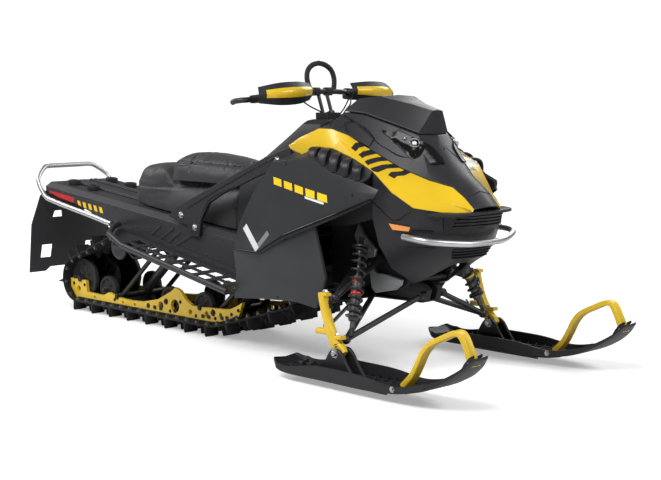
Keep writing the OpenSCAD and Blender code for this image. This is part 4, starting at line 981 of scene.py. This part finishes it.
def settled(trees, point, way, lift):
    """A point moved along a direction onto the first surface met from 60 mm above it, then lifted off it."""
    way = Vector(way)
    start = Vector(point) - way * 0.06
    hits = [hit for hit in (tree.ray_cast(start, way, 0.12) for tree in trees) if hit[0]]
    spot = min(hits, key=lambda hit: hit[3])[0] if hits else Vector(point)
    return list(spot - way * lift)


def headlamps():
    """A round projector with a bright bezel and a small side lens in each dark lamp."""
    out = unit(np.array([0.66, 0.42, 0.62]))
    flat = refined_grid(LAMP_EDGES, 9, 30)
    trees = [tree_of("hood"), tree_of("headlamps")]
    bed = np.array([settled(trees, p, -out, 0.0022) for p in flat.reshape(-1, 3)]).reshape(flat.shape)
    piece("lamp_recesses", "root", "windshield_tint", both([wall(bed, 0.004)]), 50)
    rims, glasses, wells = [], [], []
    for x, y, radius in ((0.966, 0.112, 0.020), (0.930, 0.128, 0.008)):
        centre = laid("headlamps", [(x, y, 1.2)], (0, 0, -1))[0] + out * 0.003
        rims.append(turned([(radius * 0.80, 0), (radius, 0.001), (radius, 0.007), (radius * 0.93, 0.009),
                            (radius * 0.80, 0.006), (radius * 0.80, 0)], centre, out, 36))
        well = [(0, 0), (radius * 0.81, 0), (radius * 0.78, 0.003), (0, 0.002)]
        wells.append(turned(well, centre, out, 36))
        glasses.append(turned([(0, 0), (radius * 0.50, 0), (radius * 0.50, 0.004), (radius * 0.34, 0.0075),
                               (radius * 0.14, 0.009), (0, 0.0092)], centre, out, 36))
    piece("lamp_rims", "root", "bright_metal", both(rims), 40)
    piece("lamp_wells", "root", "windshield_tint", both(wells), 40)
    piece("lamp_projectors", "root", "lamp_lens", both(glasses), 60)


# Upper and lower ends of the left louvre blades
BLADES = np.array([[(0.660, 0.312, 0.852), (0.700, 0.379, 0.810)],
                   [(0.715, 0.310, 0.850), (0.752, 0.377, 0.790)],
                   [(0.770, 0.307, 0.835), (0.804, 0.371, 0.769)],
                   [(0.825, 0.305, 0.816), (0.857, 0.363, 0.755)],
                   [(0.880, 0.301, 0.794), (0.908, 0.354, 0.742)]])


def louvres():
    """Five curved blades on each side. Each bows outwards and upwards between its ends, and swells there."""
    bow = np.sin(np.linspace(0, np.pi, 22))[:, None]
    outline, swell = superellipse(0.034, 0.014, 3, 18), 0.6 + 0.4 * bow[:, 0]
    blades = [sweep(line(*ends, 22) + bow * [0.004, 0.018, 0.016], outline, up=(0.3, 0.7, 0.6), scale=swell)
              for ends in BLADES]
    piece("louvre_blades", "root", "hood_black", both(blades), 60)


def crease_shades_and_fasteners():
    """A dark band of painted shade under the crease of each side panel, and its fasteners."""
    crease = np.array([(0.300, 0.427, 0.447), (0.444, 0.432, 0.443), (0.520, 0.432, 0.482),
                       (0.600, 0.432, 0.521), (0.745, 0.422, 0.574), (0.852, 0.407, 0.615),
                       (0.980, 0.357, 0.675)])
    # The dark band is painted shade under the crease, in a dark tint.
    path = spaced(crease, 60)
    taper = 0.35 + 0.65 * np.sin(np.linspace(0.1, np.pi - 0.5, 60))
    piece("crease_shade_bands", "root", "windshield_tint",
          both([sweep(path, superellipse(0.011, 0.020, 4, 14), scale=taper)]), 50)
    heads = []
    for x, z in ((0.345, 0.545), (0.320, 0.700), (0.560, 0.790), (0.900, 0.690), (0.480, 0.270)):
        spot = laid("side_panel_left", [(x, 0.7, z)], (0, -1, 0))
        heads += bolts(spot, (0, 1, 0), 0.005, 0.003)
    piece("panel_fasteners", "root", "arm_paint", both(heads), 40)


def castings():
    """Pale cast plates of the bulkhead behind each damper, with a raised rib on the upper one."""
    upper = np.array([(0.714, 0.559), (0.742, 0.521), (0.806, 0.466), (0.802, 0.435), (0.760, 0.428),
                      (0.723, 0.445), (0.690, 0.510)])
    lower = np.array([(0.763, 0.414), (0.809, 0.375), (0.872, 0.371), (0.940, 0.360), (0.935, 0.340),
                      (0.903, 0.318), (0.800, 0.296), (0.781, 0.315)])
    plates = [plate(spaced(o, 48, closed=True), 0.137, 0.153, 0.004) for o in (upper, lower)]
    rib = [tube(curve([(0.728, 0.153, 0.535), (0.750, 0.153, 0.490), (0.790, 0.153, 0.452)], 14), 0.008, 10)]
    piece("bulkhead_castings", "root", "cast_metal", both(plates + rib), 35)


def louvre_shade_sheets():
    """Dark sheets behind the louvres: painted shade seen between the blades."""
    sheet = refined_grid(np.array([[(0.560, 0.290, 0.800), (0.760, 0.288, 0.800), (0.930, 0.280, 0.735)],
                                   [(0.560, 0.286, 0.560), (0.760, 0.284, 0.560),
                                    (0.925, 0.278, 0.600)]]), 8, 12)
    # These sheets are painted shade behind the louvre openings.
    piece("louvre_shade_sheets", "root", "black_plastic", both([wall(sheet, 0.004)]), 50)


def rail_hole_shades():
    """Dark thin plates that stand for the holes in the rails' flanks: their dark is painted shade inside the
    holes.
    """
    holes = ((-0.640, 0.083), (-0.590, 0.082), (-0.545, 0.082), (-0.440, 0.083), (-0.240, 0.083),
             (-0.200, 0.084), (-0.110, 0.090), (-0.075, 0.094), (-1.235, 0.160), (-1.205, 0.162))
    outline, near, far = superellipse(0.024, 0.017, 4, 16), 0.1583, 0.1592
    # Each plate is painted shade in place of a hole.
    slots = [sweep(line((x, near, z), (x, far, z), 3), outline) for x, z in holes]
    piece("rail_hole_shades", "root", "black_plastic", both(slots), 40)


def tubes():
    """The grab bar at the rear and the bumper at the front, each as one smooth tube."""
    grab = np.array([(-0.838, 0.2153, 0.452), (-1.010, 0.2153, 0.482), (-1.300, 0.2153, 0.528),
                     (-1.396, 0.2153, 0.556), (-1.462, 0.2073, 0.632), (-1.500, 0.150, 0.684),
                     (-1.506, 0.110, 0.692)])
    half = curve(grab, 90)
    path = np.concatenate([half, (half * [1, -1, 1])[::-1]])
    piece("grab_tube", "root", "bright_metal", [tube(path, 0.024, 20)], 60, replaces=["grab_bar"])
    bumper = np.array([(1.046, 0.2586, 0.540), (1.120, 0.260, 0.534), (1.168, 0.222, 0.526),
                       (1.222, 0.100, 0.514), (1.232, 0.0, 0.512)])
    half = curve(bumper, 50)
    path = np.concatenate([half, (half[:-1] * [1, -1, 1])[::-1]])
    piece("bumper_tube", "root", "bright_metal", [tube(path, 0.024, 20)], 60, replaces=["front_bumper"])


def tunnel_details():
    """Pressed ribs on the tunnel's sides, the cooler bars on its roof, and its rivets."""
    ribs = []
    for (x0, z0), (x1, z1) in (((-0.545, 0.424), (-0.472, 0.466)), ((-0.484, 0.404), (-0.377, 0.466)),
                               ((-0.430, 0.392), (-0.330, 0.452)), ((-0.373, 0.384), (-0.240, 0.448))):
        path = line((x0, TUNNEL_HALF + 0.0008, z0), (x1, TUNNEL_HALF + 0.0008, z1), 14)
        ribs.append(sweep(path, superellipse(0.014, 0.006, 2.5, 14), up=(0, 1, 0)))
    piece("tunnel_ribs", "root", "tunnel_metal", both(ribs), 60)
    fall = math.tan(math.radians(ROOF_ANGLE))
    edge_z = lambda x: 0.446 - x * fall
    back, front = -1.385, -0.790
    bars = [sweep(line((back, y, edge_z(back) + 0.023), (front, y, edge_z(front) + 0.023), 30),
                  superellipse(0.016, 0.008, 4, 14)) for y in (0.050, 0.075)]
    piece("cooler_bars", "root", "tunnel_metal", both(bars), 60)
    edge = [(x, TUNNEL_HALF, edge_z(x) - 0.012) for x in np.linspace(-1.37, 0.02, 24)]
    low = [(x, TUNNEL_HALF, 0.340 - BOARD_FALL * x) for x in np.linspace(-0.74, 0.18, 12)]
    head = [(0, 0), (0.0045, 0), (0.004, 0.0015), (0, 0.0025)]
    rivets = [turned(head, p, (0, 1, 0), 10) for p in edge + low]
    piece("tunnel_rivets", "root", "board_metal", both(rivets), 60)
    strut = [(-0.300, 0.222, 0.530), (-0.205, 0.222, 0.482), (0.330, 0.222, 0.790)]
    piece("strut_bolts", "root", "rod_steel", both(bolts(strut, (0, 1, 0), 0.011, 0.008)), 35)
    face = 0.2215
    upper = curve([(x, face, z)
                   for x, z in ((-0.255, 0.560), (-0.060, 0.646), (0.200, 0.755), (0.330, 0.806))], 40)
    lower = curve([(x, face, z) for x, z in ((-0.150, 0.552), (-0.095, 0.612), (0.060, 0.672))], 30)
    grooves = [sweep(path, superellipse(width, 0.002, 3, 10), up=(0, 1, 0))
               for path, width in ((upper, 0.006), (lower, 0.005))]
    piece("strut_grooves", "root", "windshield_tint", both(grooves), 60)


def board_teeth():
    """Grip teeth along the boards' slots: small cones in three rows."""
    cone = [(0, 0), (0.0035, 0), (0.0028, 0.004), (0.001, 0.008), (0, 0.0085)]
    teeth = [turned(cone, (x, y, 0.296 - BOARD_FALL * x), (0, 0, 1), 5)
             for x in np.linspace(-0.575, 0.19, 52) for y in (0.224, 0.294, 0.365)]
    piece("board_teeth", "root", "board_metal", both(teeth), 50)


# ---------- steering ----------


# The straight stretch of the bar under the left grip, from its inner end to its outer one
GRIP_IN, GRIP_OUT = np.array([0.3496, 0.190, 1.046]), np.array([0.3356, 0.372, 1.032])


def handlebar():
    """The bar with its hooked ends, the riser's two legs and clamps, and the hand strap."""
    half = np.array([(0.3576, 0, 1.0609), (0.3636, 0.110, 1.058), GRIP_IN, GRIP_OUT,
                     (0.3236, 0.402, 1.030), (0.2956, 0.412, 1.026), (0.2736, 0.402, 1.022)])
    left = curve(half, 90)
    path = np.concatenate([(left * [1, -1, 1])[::-1][:-1], left])
    legs = [tube(line(POST_FOOT + POST_UP * 0.008 + [0, y, 0], BAR_CENTRE + [0, y, 0], 10), 0.015)
            for y in (-0.024, 0.024)]
    clamp = [sweep(line(BAR_CENTRE + [0, y - 0.012, 0], BAR_CENTRE + [0, y + 0.012, 0], 4),
                   superellipse(0.034, 0.034, 5, 20))
             for y in (-0.034, 0.034)]
    foot = sweep(line(POST_FOOT + POST_UP * 0.004, POST_FOOT + POST_UP * 0.026, 4),
                 superellipse(0.030, 0.066, 5, 20), up=(1, 0, 0))
    piece("bar_and_riser", "steering", "arm_paint", [tube(path, 0.022, 20), *legs, *clamp, foot], 50,
          replaces=["handlebar"])
    strap = np.array([(0.3596, 0.066, 1.066), (0.3516, 0.076, 1.110), (0.3456, 0.066, 1.146),
                      (0.3416, 0.036, 1.168), (0.3396, 0.0, 1.176)])
    arc = curve(strap, 40)
    path = np.concatenate([arc, (arc[:-1] * [1, -1, 1])[::-1]])
    piece("hand_strap", "steering", "grip_rubber",
          [sweep(path, superellipse(0.021, 0.016, 3, 18), up=(1, 0, 0))], 60)


def grips():
    """Grips ringed by small steps along them, with a flange at the inner end."""
    way = GRIP_OUT - GRIP_IN
    start, stop = GRIP_IN + way * 0.30, GRIP_IN + way * 0.94
    length = np.linalg.norm(stop - start)
    t = np.linspace(0, 1, 90)
    radius, bore, rings = 0.0158, 0.0116, 17
    ribs = 0.0009 * np.sign(np.sin(t * 2 * np.pi * rings)) * (t > 0.12) * (t < 0.94)
    r = np.minimum(radius + ribs + 0.0018 * np.exp(-((t / 0.05) ** 2)), 0.0172)
    profile = np.stack([np.r_[bore, r, bore, bore], np.r_[0, t * length, length, 0]], 1)
    piece("grip_sleeves", "steering", "grip_rubber", both([turned(profile, start, way, 28)]), 40,
          replaces=["grips"])


# Upper edge, brow and lower edge of the left hand guard, from its inner end outwards
GUARD = np.array([[(0.402, 0.118, 1.092), (0.424, 0.200, 1.098), (0.418, 0.290, 1.094),
                   (0.382, 0.366, 1.078)],
                  [(0.424, 0.112, 1.064), (0.452, 0.200, 1.062), (0.446, 0.290, 1.058),
                   (0.398, 0.376, 1.050)],
                  [(0.408, 0.122, 1.030), (0.430, 0.200, 1.016), (0.424, 0.290, 1.012),
                   (0.386, 0.366, 1.020)]])


def hand_guards():
    """Curved guards with a bright insert on the front of each, and the arms that hold them."""
    sheet = refined_grid(GUARD, 19, 31)
    arm = tube(curve([(0.374, 0.128, 1.056), (0.398, 0.124, 1.060), (0.418, 0.130, 1.058)], 12), 0.014)
    piece("guard_shells", "steering", "black_plastic", both([wall(sheet[:, ::-1], 0.005), arm]), 45,
          replaces=["hand_guards"])
    face = sheet[5:13, 2:28][:, ::-1] + [0.0052, 0, 0]
    piece("guard_badges", "steering", "yellow_panel", both([wall(face, 0.0045)]), 45, bevel=0.001,
          replaces=["guard_inserts"])


def bar_controls():
    """Switch housings with their clamps, and the brake and throttle levers."""
    housing = sweep(line((0.354, 0.146, 1.051), (0.349, 0.190, 1.047), 8), superellipse(0.046, 0.046, 4, 24))
    clamp = sweep(line((0.372, 0.152, 1.062), (0.370, 0.188, 1.060), 6), superellipse(0.022, 0.020, 4, 16))
    lever = curve([(0.376, 0.172, 1.046), (0.384, 0.230, 1.042), (0.386, 0.290, 1.036),
                   (0.380, 0.318, 1.034)], 30)
    lever = sweep(lever, superellipse(0.012, 0.009, 3, 14))
    piece("switch_housings", "steering", "black_plastic", both([housing, clamp, lever]), 50,
          replaces=["bar_controls"])


def bar_cables():
    """Cables from the housings down to the body. They ride on no body, neither the turning bar nor the fixed
    body.
    """
    runs = [
        [(0.372, 0.150, 1.040), (0.402, 0.120, 1.010), (0.420, 0.075, 0.985), (0.430, 0.045, 0.960),
         (0.432, 0.040, 0.942)],
        [(0.372, -0.150, 1.040), (0.404, -0.115, 1.005), (0.424, -0.070, 0.980), (0.436, -0.050, 0.958),
         (0.438, -0.048, 0.942)],
        [(0.366, 0.150, 1.034), (0.380, 0.105, 0.992), (0.400, 0.060, 0.968), (0.416, 0.026, 0.950),
         (0.420, 0.022, 0.942)],
    ]
    for name, run in zip(("throttle_cable", "brake_hose", "switch_wires"), runs):
        shape = tube(curve(run, 40), 0.006, 10, up=(0, 1, 0))
        made = piece(name, None, "grip_rubber", [shape], 60)
        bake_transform(made)


# ---------- seat ----------


def coordinates(mesh):
    """A mesh's points as an array."""
    flat = np.empty(len(mesh.vertices) * 3)
    mesh.vertices.foreach_get("co", flat)
    return flat.reshape(-1, 3)


def normals(mesh):
    """A mesh's point normals as an array."""
    flat = np.empty(len(mesh.vertices) * 3)
    mesh.vertex_normals.foreach_get("vector", flat)
    return flat.reshape(-1, 3)


def place_points(mesh, points):
    """Move a mesh's points."""
    mesh.vertices.foreach_set("co", np.ascontiguousarray(points, float).ravel())
    mesh.update()


def baked(thing):
    """A new mesh of an object with its modifiers applied."""
    return bpy.data.meshes.new_from_object(thing.evaluated_get(bpy.context.evaluated_depsgraph_get()))


def stuffed(node, voxel, inset, cap, held_below):
    """A padded form grown from a CAD solid: remeshed, rounded, drawn in, then blown up as cloth.

    Points under held_below stay where they are, and no point moves further than the cap."""
    mesh = nodes[node].data.copy()
    work = bmesh.new()
    work.from_mesh(mesh)
    bmesh.ops.remove_doubles(work, verts=work.verts, dist=1e-5)
    work.to_mesh(mesh)
    work.free()
    form = bpy.data.objects.new(node + "_form", mesh)
    bpy.context.scene.collection.objects.link(form)
    remesh = form.modifiers.new("remesh", "REMESH")
    remesh.mode, remesh.voxel_size = "VOXEL", voxel
    soften = form.modifiers.new("soften", "SMOOTH")
    soften.factor, soften.iterations = 0.5, 14
    fine = baked(form)
    form.modifiers.clear()
    form.data = fine
    start = coordinates(fine) - normals(fine) * inset
    place_points(fine, start)
    held = form.vertex_groups.new(name="held")
    held.add(np.flatnonzero(start[:, 2] < held_below(start)).tolist(), 1.0, "REPLACE")
    cloth = form.modifiers.new("padding", "CLOTH")
    cloth.settings.quality = 5
    cloth.settings.use_pressure = True
    cloth.settings.uniform_pressure_force = 4.0
    cloth.settings.effector_weights.gravity = 0.0
    cloth.settings.vertex_group_mass = "held"
    cloth.collision_settings.use_collision = False
    cloth.point_cache.frame_start, cloth.point_cache.frame_end = 1, 20
    for step in range(1, 21):
        bpy.context.scene.frame_set(step)
    swollen = baked(form)
    move = coordinates(swollen) - start
    form.modifiers.clear()
    bpy.context.scene.frame_set(1)
    length = np.linalg.norm(move, axis=1, keepdims=True)
    place_points(fine, start + move * np.minimum(1, cap / np.maximum(length, 1e-9)))
    bpy.data.objects.remove(form)
    return fine


def sewn(mesh, distance, width=0.004, depth=0.003, pucker=0.0):
    """A channel pressed into a padded form where a distance is near zero, with a soft swell each side of it.

    Small puckers run into the channel: their depth waves along it and fades with the distance."""
    p, n = coordinates(mesh), normals(mesh)
    d = distance(p, n)
    swell = np.exp(-(((np.abs(d) - 3.2 * width) / (1.6 * width)) ** 2))
    groove = -depth * np.exp(-((d / width) ** 2)) + 0.35 * depth * swell
    wave = np.sin(p[:, 0] * 310 + 2.1 * np.sin(p[:, 0] * 47)) * np.exp(-((d / (5 * width)) ** 2))
    place_points(mesh, p + n * (groove + pucker * wave)[:, None])


def seat_pad(node, mesh):
    """A padded piece in vinyl, subdivided once."""
    made = dressed(node + "_pad", mesh, "root", "seat_vinyl", 180, 0, [node])
    fine = made.modifiers.new("subdivision", "SUBSURF")
    fine.levels = fine.render_levels = 1


def thrown(mesh, points, ways):
    """Points thrown, each along its own way, onto a padded form. Those that miss are left out."""
    tree = BVHTree.FromPolygons([v.co for v in mesh.vertices], [list(p.vertices) for p in mesh.polygons])
    hits = [tree.ray_cast(Vector(p), Vector(way)) for p, way in zip(points.tolist(), ways)]
    return np.array([hit[0] for hit in hits if hit[0]])


def top_line(x):
    """Height of the cushion's edge above its sides along its length."""
    return np.interp(x, [-0.496, -0.44, -0.30, -0.03], [0.735, 0.752, 0.750, 0.742])


def seat():
    """The upper cushion and its base, each with its channels, and piping in the cushion's seam.

    Each channel is where a distance is zero. It is pushed away where there is to be no channel."""
    away, count, back, half = 0.1, 40, -0.38, 0.3
    cushion = stuffed("seat_cushion", 0.005, 0.005, 0.010, lambda p: 0.672)
    top_seam = lambda p, n: p[:, 2] - top_line(p[:, 0]) + np.where(np.abs(n[:, 2]) < 0.86, 0.0, away)
    cross_seam = lambda p, n: np.where(n[:, 2] > 0.3, p[:, 0] + 0.390 - 0.25 * np.abs(p[:, 1]), away)
    sewn(cushion, top_seam, 0.0045, 0.0035, 0.0007)
    sewn(cushion, cross_seam, 0.005, 0.0035, 0.0004)
    seat_pad("seat_cushion", cushion)
    base = stuffed("seat_base", 0.007, 0.005, 0.010, lambda p: 0.545 - 0.11 * (p[:, 0] + 0.4))
    flank = lambda n: np.abs(n[:, 1]) > 0.5
    long_seam = lambda p, n: np.where(flank(n), p[:, 2] - 0.652 - 0.02 * np.cos(p[:, 0] * 5), away)
    side_seam = lambda p, n: np.where(flank(n), p[:, 0] + 0.300 + 0.55 * (p[:, 2] - 0.60), away)
    sewn(base, long_seam, 0.005, 0.0035, 0.0006)
    sewn(base, side_seam, 0.005, 0.003, 0.0004)
    seat_pad("seat_base", base)
    a = np.linspace(-0.5 * np.pi, 0.5 * np.pi, 60)
    x = np.r_[np.linspace(-0.06, back, count), back - 0.2 * np.cos(a), np.linspace(back, -0.06, count)]
    y = np.r_[np.full(count, -half), half * np.sin(a), np.full(count, half)]
    inward = [(0, -b / half, 0) if c > back - 0.005 else ((back - c) / 0.2, -b / half * 0.8, 0)
              for c, b in zip(x, y)]
    path = thrown(cushion, np.stack([x, y, top_line(x)], 1), inward)
    piece("seat_piping", "root", "grip_rubber", [tube(curve(path[::3], 160), 0.0032, 8)], 60)


# ---------- what is left as the frame has it ----------

SHELLS = {
    "tunnel": ("tunnel_metal", 0.0012), "running_board_right": ("board_metal", 0.001),
    "running_board_left": ("board_metal", 0.001), "snow_flap": ("flap_rubber", 0.0015),
    "tail_light": ("red_lens", 0.004), "cargo_anchors": ("black_plastic", 0.003),
    "console": ("black_plastic", 0.006), "side_struts": ("black_plastic", 0.004),
    "steering_bearing": ("arm_paint", 0.002), "knee_panels": ("black_plastic", 0.003),
    "side_panel_right": ("panel_grey", 0.003), "side_panel_left": ("panel_grey", 0.003),
    "louvre_panels": ("black_plastic", 0.003), "hood": ("hood_black", 0.004),
    "hood_strips": ("yellow_panel", 0.003), "windshield": ("hood_black", 0.005),
    "headlamps": ("black_plastic", 0.001), "nose": ("hood_black", 0.003),
    "nose_grille": ("windshield_tint", 0.001), "side_reflectors": ("amber_lens", 0.002),
    "belly_pan": ("black_plastic", 0.002), "front_frame": ("arm_paint", 0.004),
    "engine_block": ("black_plastic", 0.006), "slide_rails": ("rail_yellow", 0.002),
}
PLAIN = {
    "drive_axle": "black_plastic", "track_arms": "arm_paint", "track_shocks": "shock_body",
    "lower_arms": "arm_paint", "upper_arms": "arm_paint", "tie_rod_right": "rod_steel",
    "tie_rod_left": "rod_steel", "ski_runner_right": "rod_steel", "ski_runner_left": "rod_steel",
}

for node, (finish, width) in SHELLS.items():
    moulding(node, finish, width)
for node, finish in PLAIN.items():
    nodes[node].data.materials.clear()
    nodes[node].data.materials.append(finish_of(finish))
MAKERS = (track, wheels, rail_shoes, tunnel_hubs, front_shocks, spindles, ball_boots, hood_details, grilles,
          headlamps, louvres, crease_shades_and_fasteners, castings, louvre_shade_sheets, rail_hole_shades, tubes, tunnel_details,
          board_teeth,
          handlebar, grips, hand_guards, bar_controls, bar_cables, seat)

for make in MAKERS:
    make()
for side in SIDES:
    ski(side)
    ski_loop(side)
